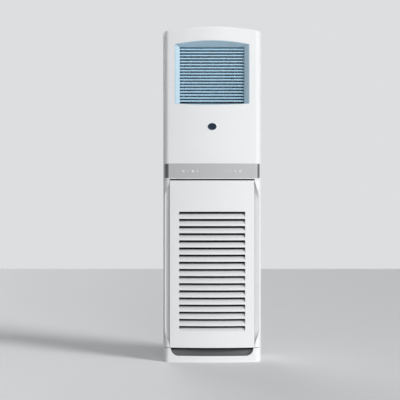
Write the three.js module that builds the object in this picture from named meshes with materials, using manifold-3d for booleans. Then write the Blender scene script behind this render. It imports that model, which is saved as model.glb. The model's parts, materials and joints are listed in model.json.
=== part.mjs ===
// Floor standing air conditioner, as an assembly of separate pieces.
// Millimetres, +Z up, the front faces -Y, +X is the right-hand side seen from the front.
// The origin is on the floor, at the middle of the cabinet's plan.

import * as THREE from 'three';
import { mergeVertices } from 'three/addons/utils/BufferGeometryUtils.js';
import Module from 'manifold-3d';

const wasm = await Module();
wasm.setup();

// ---------- driving dimensions ----------

const cabinetWidth = 510;
const cabinetDepth = 315;
const cabinetHeight = 1750;
const fitGap = 0.3; // between pieces that touch
const runGap = 0.3; // around a pin in its bearing

const sheetWall = 2; // pressed steel
const mouldWall = 3; // moulded plastic
const rimStep = 6.5; // how far the casing stands proud of the front parts
const frontBow = 22; // how far the front bulges between its edges
const frontCorner = 28; // plan radius of the front's upright corners
const crownRise = 23; // how far the top arches
const crownCorner = 18;
const frontPartsDepth = 60.9; // from the furthest point of the front to the casing
const flangeWidth = 14; // turned-in edges of the side panels
const topCoverDepth = 50; // height of the crowned top cover

const baseTrimHeight = 73;
const recessHeight = 40; // the finger recess in the base trim
const recessMargin = 33.5; // from the recess to the front's edge
const basePanDrop = 13; // from the trim's top to the base pan's walls
const footHeight = 12;
const footRadius = 18;
const footInset = 45; // from the cabinet's side to a foot's middle
const footFrontSetback = 35; // from the casing's front to a front foot
const footRearSetback = 33.2; // from the back panel to a rear foot
const kickPlateSetback = 31.9; // from the furthest point of the front
const panelSeam = 2.5; // open joint between the base trim and the intake panel

const bandBottomZ = 952;
const bandHeight = 80;
const bandShadowGap = 7.5; // open joint under the control band

const sideTrimWidth = 28.5;
const intakeReturn = 12; // depth of the intake panel's turned-back sides
const slotCount = 17;
const slotPitch = 37.1;
const slotHeight = 27.5;
const slotMargin = 48.5; // from the slots to the intake panel's edge
const slotsBottomZ = 161;
const louvreRise = 19; // height of a slanted louvre
const louvreDepth = 17; // how far it leans back
const louvreWall = 2.4;
const hingeSetback = 17.9; // hinge axis behind the furthest point of the front
const hingeDrop = 8; // hinge axis below the intake panel's top edge
const hingePinRadius = 3;
const hingeLugX = 136;
const hingeLugWidth = 6;
const hingeLugRadius = 5.5;

const gripRim = 3; // what is left of the front outside a grip channel
const gripDepth = 22;
const gripStraightTopZ = 858;
const gripStraightBottomZ = 169;
const gripEndBottomZ = 91;

const filterMargin = 20; // from the filter to the intake panel's edge
const filterBottomZ = 140;
const filterTopZ = 775;
const filterThickness = 6;
const filterSetback = 36.4;
const filterBars = 4;
const filterRungs = 6;
const filterRail = 12;

const windowMargin = 54.5; // from the window to the front's edge
const windowDrop = 78; // from the top of the cabinet to the window
const windowHeight = 335;
const windowTopRise = 18;
const windowBottomDip = 7;
const bezelSideWidth = 25.5;
const bezelTopWidth = 30;
const bezelBottomWidth = 8;
const bezelFlange = 8;
const grilleSetback = 27.9; // from the furthest point of the front to the grille
const bezelLip = 1.5;

const vaneCount = 18;
const vanePitch = 15.8;
const vaneTopGap = 12; // from the first vane's pins to the duct's top
const vaneSetback = 12; // from the grille's plane to the vanes' pins
const vaneChord = 22;
const vaneThickness = 2.6;
const vaneTilt = 28; // degrees, front edge down
const vaneEndGap = 1.5;
const vanePinRadius = 2;
const crankRadius = 16;
const crankPinRadius = 1.5;
const crankInset = 18.5; // from the duct's left wall to the crank ears
const linkThickness = 2;

const ductRearGap = 93.2; // from the duct to the back panel
const bulkheadSkirt = 55; // how far the bulkhead reaches below the duct
const deflectorCount = 5;
const deflectorPitch = 60;
const deflectorSetback = 73; // from the grille's plane to the deflectors' pins
const deflectorChord = 54;
const deflectorThickness = 2.2;
const deflectorCrank = 22;
const deflectorEndGap = 4;
const deflectorTopGap = 9;
const swingMotorRadius = 14;
const swingMotorHeight = 19;

const deckZ = 690;
const fanZ = 420;
const wheelRadius = 150;
const wheelBladeInner = 122;
const wheelBladeCount = 20;
const wheelFrontGap = 8; // from the housing's front to the wheel
const wheelBackGap = 21;
const housingFrontGap = 4.7; // from the flanges' plane to the housing
const housingRearGap = 91.2; // from the housing to the back panel
const scrollStart = 168;
const scrollClear = 18; // from the scroll to the side panel
const tongueAngle = 50; // degrees above the horizontal, on the right
const inletRadius = 112;
const motorRadius = 62;
const motorLength = 70;
const shaftRadius = 5.7;

const coilClear = 63; // from the fins to the side panel
const coilThickness = 44;
const coilStandoff = 84.8; // what the coil's lean leaves of the casing's depth
const coilFinCount = 24;
const coilBendCount = 5;
const tubeRadius = 4.8;
const panClear = 32; // from the drain pan to the side panel
const panDepth = 101.2; // from the pan's front to the back panel
const panHeight = 40;
const gasPipeRadius = 8;
const liquidPipeRadius = 5;
const hoseRadius = 9;
const pipeHoleMargin = 18; // from the hole to the cabinet's side
const pipeClear = 19; // from the pipes' middle to the side panel
const gasPipeGap = 99.2; // from the gas pipe's middle to the back panel
const liquidPipeGap = 53.2;
const spoutOffset = 18; // from the pipe hole's middle to the drain spout
const spoutDrop = 16;
const pipeEndGap = 4; // from a pipe's end to the back panel
const pipeCornerDrop = 80; // height in which a pipe turns down into its corner
const pipeHoleZ = 130;
const pipeHoleSize = 78;

const boxClear = 63; // from the control box to the side panel
const boxBottomZ = 790;
const boxTopZ = 932;
const boxDepth = 24;
const boardThickness = 1.6;
const boardMargin = 14; // above and below a board
const boardInset = 30; // from the main board to the box's side
const terminalWidth = 100;
const terminalInset = 20;

const badgeShare = 0.63; // its height between the band and the window
const badgeHalfWidth = 23.5;
const badgeHalfHeight = 19;
const badgeStand = 1.6;

const bracketHalfWidth = 90;
const bracketHeight = 46;
const bracketDrop = 190; // from the top of the cabinet to the bracket's foot

// ---------- sizes that follow ----------

const halfWidth = cabinetWidth / 2;
const halfDepth = cabinetDepth / 2;
const frontHalf = halfWidth - rimStep;
const frontApexY = -halfDepth + badgeStand; // the cap is what stands furthest forward
const casingFrontY = frontApexY + frontPartsDepth; // where the front parts meet the casing
const sideInner = halfWidth - sheetWall;
const backPlateY = halfDepth - fitGap - 2 * sheetWall; // inner face of the back panel
const innerRearY = backPlateY - 2 * fitGap - sheetWall; // in front of the rear flanges
const bandTopZ = bandBottomZ + bandHeight;
const intakeTopZ = bandBottomZ - bandShadowGap;
const intakeBottomZ = baseTrimHeight + panelSeam;
const hingeZ = intakeTopZ - hingeDrop;
const topCoverZ = cabinetHeight - topCoverDepth;
const flangeBackY = casingFrontY + sheetWall; // rear face of the side panels' front flanges
const mountPlateY = flangeBackY + fitGap; // front face of what is fixed behind them
const grilleY = frontApexY + grilleSetback;
const ductFrontY = grilleY + 1 + fitGap;
const ductRearY = backPlateY - ductRearGap;
const vaneRad = THREE.MathUtils.degToRad(vaneTilt);
const vaneY = grilleY + vaneSetback;
const deflectorY = grilleY + deflectorSetback;
const hingeY = frontApexY + hingeSetback;
const filterBackY = frontApexY + filterSetback;
const kickPlateY = frontApexY + kickPlateSetback;
const footFrontY = casingFrontY + footFrontSetback;
const footRearY = backPlateY - footRearSetback;
const basePanHeight = baseTrimHeight - basePanDrop;
const recessFloorZ = baseTrimHeight - recessHeight;
const recessCorner = recessHeight + 1; // its sides are upright where they leave the trim

const recessHalfWidth = frontHalf - recessMargin;
const intakeHalfWidth = frontHalf - sideTrimWidth;
const slotHalfWidth = intakeHalfWidth - slotMargin;
const gripHalfWidth = frontHalf - gripRim; // outer edge of the grip channels
const filterHalfWidth = intakeHalfWidth - filterMargin;
const windowHalfWidth = frontHalf - windowMargin;
const windowTopZ = cabinetHeight - windowDrop;
const windowBottomZ = windowTopZ - windowHeight;
const grilleHalfWidth = windowHalfWidth - bezelSideWidth;
const grilleBottomZ = windowBottomZ + bezelBottomWidth;
const grilleTopZ = windowTopZ - bezelTopWidth;
const vaneTopZ = grilleTopZ - vaneTopGap;
const crankX = -grilleHalfWidth + crankInset;
const bulkheadBottomZ = grilleBottomZ - bulkheadSkirt;
const scrollEnd = sideInner - scrollClear;
const coilHalfWidth = sideInner - coilClear;
const coilLength = bulkheadBottomZ - deckZ;
const coilReach = backPlateY - casingFrontY - coilStandoff;
const coilRad = Math.asin(coilReach / coilLength); // its top leans to the front
const housingFrontY = mountPlateY + housingFrontGap;
const housingBackY = backPlateY - housingRearGap;
const wheelFrontY = housingFrontY + wheelFrontGap;
const wheelBackY = housingBackY - wheelBackGap;
const panHalfWidth = sideInner - panClear;
const panFrontY = backPlateY - panDepth;
const gasPipeY = backPlateY - gasPipeGap;
const liquidPipeY = backPlateY - liquidPipeGap;
const pipeX = sideInner - pipeClear;
const pipeHoleX = halfWidth - pipeHoleMargin - pipeHoleSize / 2;
const spoutX = pipeHoleX - spoutOffset;
const spoutY = (panFrontY + backPlateY - fitGap) / 2;
const pipeEndY = backPlateY - pipeEndGap;
const boxHalfWidth = sideInner - boxClear;
const badgeZ = bandTopZ + badgeShare * (windowBottomZ - bandTopZ);
const bracketZ = cabinetHeight - bracketDrop;

const plan = { half: frontHalf, bow: frontBow, corner: frontCorner, apex: frontApexY, dir: -1, steps: 8 };
const crown = { half: halfWidth, bow: crownRise, corner: crownCorner, apex: cabinetHeight, dir: 1, steps: 8 };

// ---------- finishes ----------

const finishes = {
  shell: { color: 0xf2f3f3, roughness: 0.35 },
  casing: { color: 0xe9ebeb, roughness: 0.45 },
  silver: { color: 0xb7b9b9, roughness: 0.35, metalness: 0.6 },
  navy: { color: 0x14243f, roughness: 0.25 },
  vane: { color: 0xc6d8e4, roughness: 0.45 },
  duct: { color: 0x3c4348, roughness: 0.8 },
  darkPlastic: { color: 0x2b2d30, roughness: 0.7 },
  netting: { color: 0x4a5057, roughness: 0.8 },
  zinc: { color: 0xb4b8ba, roughness: 0.45, metalness: 0.8 },
  fins: { color: 0xc9cdd0, roughness: 0.5, metalness: 0.8 },
  copper: { color: 0xb4703c, roughness: 0.35, metalness: 0.9 },
  board: { color: 0x1f6b45, roughness: 0.6 },
  hose: { color: 0xd8d8d2, roughness: 0.6 },
  basePaint: { color: 0x4d5052, roughness: 0.6 },
};

// ---------- geometry helpers ----------

// A manifold solid from a closed geometry, with its faces turned out.
function solid(geometry) {
  const bare = geometry.clone();
  bare.deleteAttribute('normal');
  bare.deleteAttribute('uv');
  const merged = mergeVertices(bare, 1e-4);
  const place = merged.attributes.position.array;
  const corner = (i) => new THREE.Vector3().fromArray(place, i * 3);
  const faces = [];
  let volume = 0;
  for (let i = 0; i < merged.index.count; i += 3) {
    const [a, b, c] = merged.index.array.slice(i, i + 3);
    if (a !== b && b !== c && a !== c) {
      faces.push([a, b, c]);
      volume += corner(a).dot(corner(b).cross(corner(c)));
    }
  }
  const outward = volume > 0 ? faces : faces.map(([a, b, c]) => [c, b, a]);
  return new wasm.Manifold(new wasm.Mesh({
    numProp: 3,
    vertProperties: new Float32Array(place),
    triVerts: new Uint32Array(outward.flat()),
  }));
}

function meshGeometry(body) {
  const raw = body.getMesh();
  const geometry = new THREE.BufferGeometry();
  geometry.setAttribute('position', new THREE.BufferAttribute(new Float32Array(raw.vertProperties), 3));
  geometry.setIndex(new THREE.BufferAttribute(new Uint32Array(raw.triVerts), 1));
  const flat = geometry.toNonIndexed();
  flat.computeVertexNormals();
  return flat;
}

const join = (first, ...rest) => rest.reduce((sum, body) => sum.add(body), first);
const cut = (first, ...rest) => rest.reduce((left, body) => left.subtract(body), first);

function piece(name, body, finish) {
  const material = new THREE.MeshStandardMaterial({ metalness: 0, ...finish });
  const mesh = new THREE.Mesh(meshGeometry(body), material);
  mesh.name = name;
  return mesh;
}

function group(...children) {
  const made = new THREE.Group();
  made.add(...children);
  return made;
}

function shapeOf(points) {
  return new THREE.Shape(points.map(([u, v]) => new THREE.Vector2(u, v)));
}

// An outline run from one station to another along its third axis, with holes cut through.
function prism(points, from, to, holes, turn) {
  const run = (line, low, high) => {
    const geometry = new THREE.ExtrudeGeometry(shapeOf(line), { depth: high - low, bevelEnabled: false });
    return solid(geometry.applyMatrix4(turn(low, high)));
  };
  return cut(run(points, from, to), ...holes.map((hole) => run(hole, from - 1, to + 1)));
}

// An outline in plan, raised from z0 to z1.
function prismZ(points, z0, z1, holes = []) {
  return prism(points, z0, z1, holes, (low) => new THREE.Matrix4().makeTranslation(0, 0, low));
}

// An outline of (y, z) points, run from x0 to x1.
function prismX(points, x0, x1, holes = []) {
  return prism(points, x0, x1, holes, (low) => new THREE.Matrix4().set(0, 0, 1, low, 1, 0, 0, 0, 0, 1, 0, 0, 0, 0, 0, 1));
}

// An outline of (x, z) points, run from y0 to y1.
function prismY(points, y0, y1, holes = []) {
  return prism(points, y0, y1, holes, (low, high) => new THREE.Matrix4().set(1, 0, 0, 0, 0, 0, -1, high, 0, 1, 0, 0, 0, 0, 0, 1));
}

function block(x0, x1, y0, y1, z0, z1) {
  const geometry = new THREE.BoxGeometry(x1 - x0, y1 - y0, z1 - z0);
  return solid(geometry.translate((x0 + x1) / 2, (y0 + y1) / 2, (z0 + z1) / 2));
}

function circle(cu, cv, radius, sides) {
  return Array.from({ length: sides }, (_, i) => {
    const angle = ((i + 0.5) / sides) * 2 * Math.PI;
    return [cu + radius * Math.cos(angle), cv + radius * Math.sin(angle)];
  });
}

function arcPoints(cu, cv, radius, from, to, steps) {
  return Array.from({ length: steps + 1 }, (_, i) => {
    const angle = from + ((to - from) * i) / steps;
    return [cu + radius * Math.cos(angle), cv + radius * Math.sin(angle)];
  });
}

// A closed profile of (radius, y) points, spun about an axis along Y at height z.
function spunY(profile, z, sides) {
  const points = [...profile, profile[0]].map(([radius, y]) => new THREE.Vector2(radius, y));
  return solid(new THREE.LatheGeometry(points, sides).translate(0, 0, z));
}

// A straight-sided outline whose far end is a bowed line with two rounded corners.
// It is used for the cabinet's plan and for its crowned top.
function bowedLine({ half, bow, corner, apex, dir, steps }, inset) {
  const radius = (half * half + bow * bow) / (2 * bow);
  const centre = apex - dir * radius;
  const cornerAt = half - corner;
  const cornerV = Math.sqrt((radius - corner) ** 2 - cornerAt ** 2);
  const lean = Math.atan2(cornerAt, cornerV);
  const right = arcPoints(cornerAt, cornerV, corner - inset, 0, Math.PI / 2 - lean, 4);
  const bowed = arcPoints(0, 0, radius - inset, Math.PI / 2 - lean, Math.PI / 2 + lean, steps).slice(1, -1);
  const left = arcPoints(-cornerAt, cornerV, corner - inset, Math.PI / 2 + lean, Math.PI, 4);
  return [...right, ...bowed, ...left].map(([u, v]) => [u, centre + dir * v]);
}

function bowedOutline(spec, inset, base) {
  const line = bowedLine(spec, inset);
  return [...line, [line.at(-1)[0], base], [line[0][0], base]];
}

// The front surface's y at a given x.
function frontY(x) {
  const radius = (frontHalf ** 2 + frontBow ** 2) / (2 * frontBow);
  return frontApexY + radius - Math.sqrt(radius ** 2 - x ** 2);
}

function anticlockwise(points) {
  const vectors = points.map(([u, v]) => new THREE.Vector2(u, v));
  return THREE.ShapeUtils.isClockWise(vectors) ? [...points].reverse() : points;
}

// A (depth behind the front, z) outline swept along the bowed front from -half to half.
function bowedSweep(line, half, stations) {
  const outline = anticlockwise(line);
  const positions = [];
  for (let i = 0; i <= stations; i += 1) {
    const x = -half + (2 * half * i) / stations;
    outline.forEach(([depth, z]) => positions.push(x, frontY(x) + depth, z));
  }
  const n = outline.length;
  const index = [];
  for (let i = 0; i < stations; i += 1) {
    for (let k = 0; k < n; k += 1) {
      const a = i * n + k;
      const b = i * n + ((k + 1) % n);
      index.push(a, b, a + n, b, b + n, a + n);
    }
  }
  const caps = THREE.ShapeUtils.triangulateShape(outline.map(([u, v]) => new THREE.Vector2(u, v)), []);
  const end = stations * n;
  caps.forEach(([a, b, c]) => {
    index.push(c, b, a, end + a, end + b, end + c);
  });
  return indexedSolid(positions, index);
}

// A solid between two anticlockwise (x, z) outlines with as many points, at y0 and y1.
function loftY(front, y0, back, y1) {
  const n = front.length;
  const positions = [];
  front.forEach(([x, z]) => positions.push(x, y0, z));
  back.forEach(([x, z]) => positions.push(x, y1, z));
  const index = [];
  for (let k = 0; k < n; k += 1) {
    const next = (k + 1) % n;
    index.push(k, k + n, next, next, k + n, next + n);
  }
  const caps = THREE.ShapeUtils.triangulateShape(back.map(([u, v]) => new THREE.Vector2(u, v)), []);
  caps.forEach(([a, b, c]) => {
    index.push(a, b, c, c + n, b + n, a + n);
  });
  return indexedSolid(positions, index);
}

function indexedSolid(positions, index) {
  const geometry = new THREE.BufferGeometry();
  geometry.setAttribute('position', new THREE.Float32BufferAttribute(positions, 3));
  geometry.setIndex(index);
  return solid(geometry);
}

// A round bar along a smooth line through the points.
function bar(points, radius, sides, steps) {
  const line = new THREE.CatmullRomCurve3(points.map((p) => new THREE.Vector3(...p)), false, 'centripetal');
  const section = shapeOf(circle(0, 0, radius, sides));
  return solid(new THREE.ExtrudeGeometry(section, { steps, extrudePath: line }));
}

// ---------- casing ----------

const recessLine = () => {
  const flat = recessHalfWidth - recessCorner;
  const centreZ = recessFloorZ + recessCorner;
  return [
    ...arcPoints(-flat, centreZ, recessCorner, Math.PI, 1.5 * Math.PI, 5),
    ...arcPoints(flat, centreZ, recessCorner, 1.5 * Math.PI, 2 * Math.PI, 5),
  ];
};

function basePan() {
  const frontEdge = kickPlateY;
  const neck = sideInner - flangeWidth - 1;
  const outline = (inset) => [
    [-neck + inset, frontEdge + inset],
    [neck - inset, frontEdge + inset],
    [neck - inset, mountPlateY + inset],
    [sideInner - fitGap - inset, mountPlateY + inset],
    [sideInner - fitGap - inset, innerRearY - inset],
    [-sideInner + fitGap + inset, innerRearY - inset],
    [-sideInner + fitGap + inset, mountPlateY + inset],
    [-neck + inset, mountPlateY + inset],
  ];
  const tray = cut(
    prismZ(outline(0), footHeight, basePanHeight),
    prismZ(outline(sheetWall), footHeight + sheetWall, basePanHeight + 1),
  );
  const footX = halfWidth - footInset;
  const feet = [[-footX, footFrontY], [footX, footFrontY], [-footX, footRearY], [footX, footRearY]].map(
    ([x, y]) => prismZ(circle(x, y, footRadius, 12), 0, footHeight + 1),
  );
  const kickPlate = block(-recessHalfWidth, recessHalfWidth, frontEdge, frontEdge + sheetWall, footHeight, baseTrimHeight);
  return join(tray, kickPlate, ...feet);
}

function baseTrim() {
  const shell = cut(
    prismZ(bowedOutline(plan, 0, casingFrontY), 0, baseTrimHeight),
    prismZ(bowedOutline(plan, mouldWall, casingFrontY + 1), -1, baseTrimHeight + 1),
  );
  const recess = prismY([...recessLine(), [recessHalfWidth, baseTrimHeight + 1], [-recessHalfWidth, baseTrimHeight + 1]],
    -halfDepth - 1, mountPlateY - 1);
  return cut(shell, recess);
}

// Side wall, with edges turned in at the front and at the back.
function sidePanel(side) {
  const rear = backPlateY - fitGap;
  const inner = sideInner - flangeWidth;
  const outline = [
    [halfWidth, casingFrontY], [halfWidth, rear], [inner, rear], [inner, rear - sheetWall],
    [sideInner, rear - sheetWall], [sideInner, flangeBackY], [inner, flangeBackY], [inner, casingFrontY],
  ];
  return prismZ(outline.map(([x, y]) => [side * x, y]), fitGap, topCoverZ - fitGap);
}

function backPanel() {
  const plate = block(-halfWidth, halfWidth, backPlateY, backPlateY + sheetWall, footHeight, topCoverZ - fitGap);
  const half = pipeHoleSize / 2;
  return cut(plate, block(pipeHoleX - half, pipeHoleX + half, backPlateY - 1, halfDepth, pipeHoleZ - half, pipeHoleZ + half));
}

function topCover() {
  const rear = backPlateY + sheetWall;
  return cut(
    prismY(bowedOutline(crown, 0, topCoverZ), casingFrontY, rear),
    prismY(bowedOutline(crown, mouldWall, topCoverZ - 1), casingFrontY + mouldWall, rear - mouldWall),
  );
}

function wallBracket() {
  const front = backPlateY + sheetWall + fitGap;
  return block(-bracketHalfWidth, bracketHalfWidth, front, halfDepth, bracketZ, bracketZ + bracketHeight);
}

// ---------- front ----------

// The outlet window: arched at the top, dipped at the bottom. grow widens it all round.
function windowLine(grow, steps = 8) {
  const half = windowHalfWidth + grow;
  const share = (i) => -half + (2 * half * i) / steps;
  const line = (edgeZ, rise) => Array.from({ length: steps + 1 }, (_, i) => [
    share(i), edgeZ + rise * (1 - (share(i) / half) ** 2),
  ]);
  const bottom = line(windowBottomZ + windowBottomDip - grow, -windowBottomDip);
  const top = line(windowTopZ - windowTopRise + grow, windowTopRise).reverse();
  return [...bottom, ...top];
}

function upperFrontPanel() {
  const shell = (inset, base, rear) => prismZ(bowedOutline(plan, inset, rear), base, cabinetHeight)
    .intersect(prismY(bowedOutline(crown, rimStep + inset, base - 1), -halfDepth - 1, 0));
  return cut(
    shell(0, bandTopZ + fitGap, casingFrontY - fitGap),
    shell(mouldWall, bandTopZ - 1, casingFrontY + 1),
    prismY(windowLine(0), -halfDepth - 1, casingFrontY - 1),
  );
}

// The bevelled frame in the window, with a rear flange round the grille.
function outletBezel() {
  const bevelRun = 1.57; // sideways per millimetre of depth, at the sides
  const steps = 8;
  const outerY = -halfDepth - 0.5;
  const sideY = frontY(windowHalfWidth);
  const half = windowHalfWidth - bezelLip + bevelRun * (sideY - outerY);
  const sideTop = windowTopZ - windowTopRise - bezelLip + 9;
  const ring = (reach, edgeBottom, bottomDip, edgeTop, topRise) => {
    const share = (i) => -1 + (2 * i) / steps;
    const low = Array.from({ length: steps + 1 }, (_, i) => [reach * share(i), edgeBottom - bottomDip * (1 - share(i) ** 2)]);
    const high = Array.from({ length: steps + 1 }, (_, i) => [reach * share(i), edgeTop + topRise * (1 - share(i) ** 2)]);
    return [...low, ...high.reverse()];
  };
  const mouth = ring(half, grilleBottomZ, windowBottomDip - 1, sideTop, windowTopZ - bezelLip - sideTop);
  const throat = ring(grilleHalfWidth, grilleBottomZ, 0, grilleTopZ, 0);
  const frame = prismY(windowLine(-fitGap), -halfDepth - 1, grilleY)
    .intersect(prismZ(bowedOutline(plan, 0, casingFrontY), bandTopZ, cabinetHeight));
  const opening = [
    [-grilleHalfWidth, grilleBottomZ], [grilleHalfWidth, grilleBottomZ], [grilleHalfWidth, grilleTopZ], [-grilleHalfWidth, grilleTopZ],
  ];
  const rear = prismY(windowLine(bezelFlange), grilleY - 1, grilleY + 1, [opening]);
  return join(cut(frame, loftY(mouth, outerY, throat, grilleY + 0.01)), rear);
}

function badgeCap() {
  const outline = arcPoints(0, 0, 1, 0, 2 * Math.PI, 20).slice(0, -1).map(([u, v]) => [u * badgeHalfWidth, badgeZ + v * badgeHalfHeight]);
  const face = prismZ(bowedOutline(plan, -fitGap, 0), badgeZ - 2 * badgeHalfHeight, badgeZ + 2 * badgeHalfHeight);
  return cut(prismY(outline, -halfDepth, -halfDepth + 2 * mouldWall), face);
}

const boardHalfWidth = 150;
const boardY = frontY(boardHalfWidth) + mouldWall + 4;
const boardZ = [bandBottomZ + boardMargin, bandTopZ - boardMargin];

// The silver band: a bowed wall, a shelf at its foot and two lugs that hang from the shelf.
function controlBand() {
  const shelfTop = bandBottomZ + mouldWall;
  const wall = cut(
    prismZ(bowedOutline(plan, 0, casingFrontY - fitGap), bandBottomZ, bandTopZ),
    prismZ(bowedOutline(plan, mouldWall, casingFrontY + 1), shelfTop, bandTopZ + 1),
  );
  const lugLine = [
    [hingeY - 1.5, bandBottomZ + 1], [hingeY - 1.5, hingeZ + 5],
    ...arcPoints(hingeY, hingeZ, hingeLugRadius, Math.PI * 0.85, Math.PI * 2, 7),
    [hingeY + 8, bandBottomZ + 1],
  ];
  const bore = circle(hingeY, hingeZ, hingePinRadius + runGap, 12);
  const lugs = [-hingeLugX - hingeLugWidth, hingeLugX].map((x) => prismX(lugLine, x, x + hingeLugWidth, [bore]));
  const posts = [-boardHalfWidth + 6, boardHalfWidth - 12].map(
    (x) => block(x, x + 6, frontY(x) + 1, boardY - fitGap, shelfTop - 1, boardZ[1]),
  );
  return join(wall, ...lugs, ...posts);
}

function displayBoard() {
  const half = boardHalfWidth;
  return block(-half, half, boardY, boardY + boardThickness, boardZ[0], boardZ[1]);
}

// The S-curved edge of a grip channel, from the panel's edge out to the full width.
function gripEdge(fromX, toX, fromZ, toZ) {
  const steps = 7;
  return Array.from({ length: steps + 1 }, (_, i) => {
    const t = i / steps;
    const ease = t * t * (3 - 2 * t);
    return [fromX + (toX - fromX) * ease, fromZ + (toZ - fromZ) * t];
  });
}

function sideTrim(side) {
  const inner = intakeHalfWidth + fitGap;
  const low = intakeBottomZ;
  const high = bandBottomZ - fitGap;
  const flip = (points) => points.map(([u, v]) => [side * u, v]);
  const column = prismZ(bowedOutline(plan, 0, casingFrontY - fitGap), low, high)
    .intersect(block(...[side * inner, side * halfWidth].sort((a, b) => a - b), -halfDepth, 0, low - 1, high + 1));
  const edge = [
    ...gripEdge(inner, gripHalfWidth, gripEndBottomZ, gripStraightBottomZ),
    ...gripEdge(gripHalfWidth, inner, gripStraightTopZ, intakeTopZ),
    [inner - 10, intakeTopZ], [inner - 10, gripEndBottomZ],
  ];
  const floorY = frontY(inner) + gripDepth;
  const wedge = prismZ(flip([
    [inner - 12, -halfDepth - 10], [halfWidth + 20, -halfDepth - 10], [halfWidth + 20, floorY - 10], [gripHalfWidth, floorY - 6], [inner - 12, floorY + 3],
  ]), low, high);
  const channel = prismY(flip(edge), -halfDepth - 5, casingFrontY - 2).intersect(wedge);
  const pocket = block(...[side * (inner + mouldWall), side * (frontHalf - mouldWall)].sort((a, b) => a - b),
    floorY + 2 * mouldWall, casingFrontY + 1, gripEndBottomZ, intakeTopZ - 10);
  return cut(column, channel, pocket);
}

// One louvre: an upright lip on the front face, then a blade that leans back and up.
function louvre(lipBottomZ, lipHeight) {
  const top = lipBottomZ + lipHeight;
  return bowedSweep([
    [0, lipBottomZ], [0, top],
    [louvreDepth, top + louvreRise], [louvreDepth, top + louvreRise - louvreWall],
    [louvreWall, top - louvreWall], [louvreWall, lipBottomZ],
  ], slotHalfWidth + 1, 4);
}

// The bowed lower panel: slots with louvres, turned-back sides, filter guides and hinge pins.
function intakePanel() {
  const lip = slotPitch - slotHeight;
  const slotsTopZ = slotsBottomZ + (slotCount - 1) * slotPitch + slotHeight;
  const sideY = frontY(intakeHalfWidth) + intakeReturn;
  const skin = (inset, rear) => prismZ(bowedOutline(plan, inset, 0), intakeBottomZ, intakeTopZ)
    .intersect(block(-intakeHalfWidth + inset, intakeHalfWidth - inset, -halfDepth, rear, intakeBottomZ, intakeTopZ));
  const face = cut(skin(0, sideY), skin(mouldWall, sideY + 1));
  const slots = block(-slotHalfWidth, slotHalfWidth, -halfDepth, 0, slotsBottomZ, slotsTopZ);
  const louvres = Array.from({ length: slotCount }, (_, i) => {
    const blind = i === 0;
    const lipBottom = slotsBottomZ + i * slotPitch - (blind ? mouldWall : lip);
    return louvre(lipBottom, blind ? mouldWall : lip);
  });
  const guides = [-1, 1].flatMap((side) => {
    const x = [filterHalfWidth + fitGap, filterHalfWidth + fitGap + mouldWall];
    const bracket = side > 0 ? x : x.map((v) => -v).reverse();
    const hook = side > 0 ? [x[0] - 8, x[1]] : [-x[1], -x[0] + 8];
    const front = frontY(filterHalfWidth) + 1;
    return [
      block(...bracket, front, filterBackY + fitGap + louvreWall, filterBottomZ, filterTopZ),
      block(...hook, filterBackY + fitGap, filterBackY + fitGap + louvreWall, filterBottomZ, filterTopZ),
    ];
  });
  const shelfFront = frontY(slotHalfWidth) - 6;
  const shelf = block(-slotHalfWidth, slotHalfWidth, shelfFront, filterBackY, filterBottomZ - fitGap - louvreWall, filterBottomZ - fitGap)
    .intersect(prismZ(bowedOutline(plan, 1, 0), 0, cabinetHeight));
  const armWidth = 8;
  const arms = [-1, 1].flatMap((side) => {
    const near = hingeLugX - fitGap;
    const span = (from, to) => [side * from, side * to].sort((a, b) => a - b);
    const arm = prismX([
      [frontY(near) + 1, hingeZ - 14], [hingeY + 4, hingeZ - 5], [hingeY + 4, hingeZ + 3],
      [hingeY - 3, hingeZ + 3.5], [frontY(near) + 1, hingeZ + 3.5],
    ], ...span(near - armWidth, near));
    const pin = prismX(circle(hingeY, hingeZ, hingePinRadius, 12), ...span(near - 1, hingeLugX + hingeLugWidth + 1));
    return [arm, pin];
  });
  return join(cut(face, slots), ...louvres, ...guides, shelf, ...arms);
}

// A framed net, with bars and rungs that leave open squares.
function airFilter() {
  const [low, high] = [filterBottomZ, filterTopZ - fitGap];
  const frame = filterRail;
  const bar = 4;
  const open = [];
  const innerW = 2 * (filterHalfWidth - frame);
  const innerH = high - low - 2 * frame;
  const cellW = (innerW - (filterBars - 1) * bar) / filterBars;
  const cellH = (innerH - (filterRungs - 1) * bar) / filterRungs;
  for (let i = 0; i < filterBars; i += 1) {
    for (let k = 0; k < filterRungs; k += 1) {
      const x = -filterHalfWidth + frame + i * (cellW + bar);
      const z = low + frame + k * (cellH + bar);
      open.push([[x, z], [x + cellW, z], [x + cellW, z + cellH], [x, z + cellH]]);
    }
  }
  const outline = [[-filterHalfWidth, low], [filterHalfWidth, low], [filterHalfWidth, high], [-filterHalfWidth, high]];
  return prismY(outline, filterBackY - filterThickness, filterBackY, open);
}

// ---------- outlet ----------

const vaneZ = (i) => vaneTopZ - i * vanePitch;
const deflectorX = (i) => (i - (deflectorCount - 1) / 2) * deflectorPitch;
const vanePinReach = grilleHalfWidth + mouldWall - fitGap;
const deflectorLow = grilleBottomZ + deflectorEndGap;
const deflectorHigh = grilleTopZ - deflectorTopGap;

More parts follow.
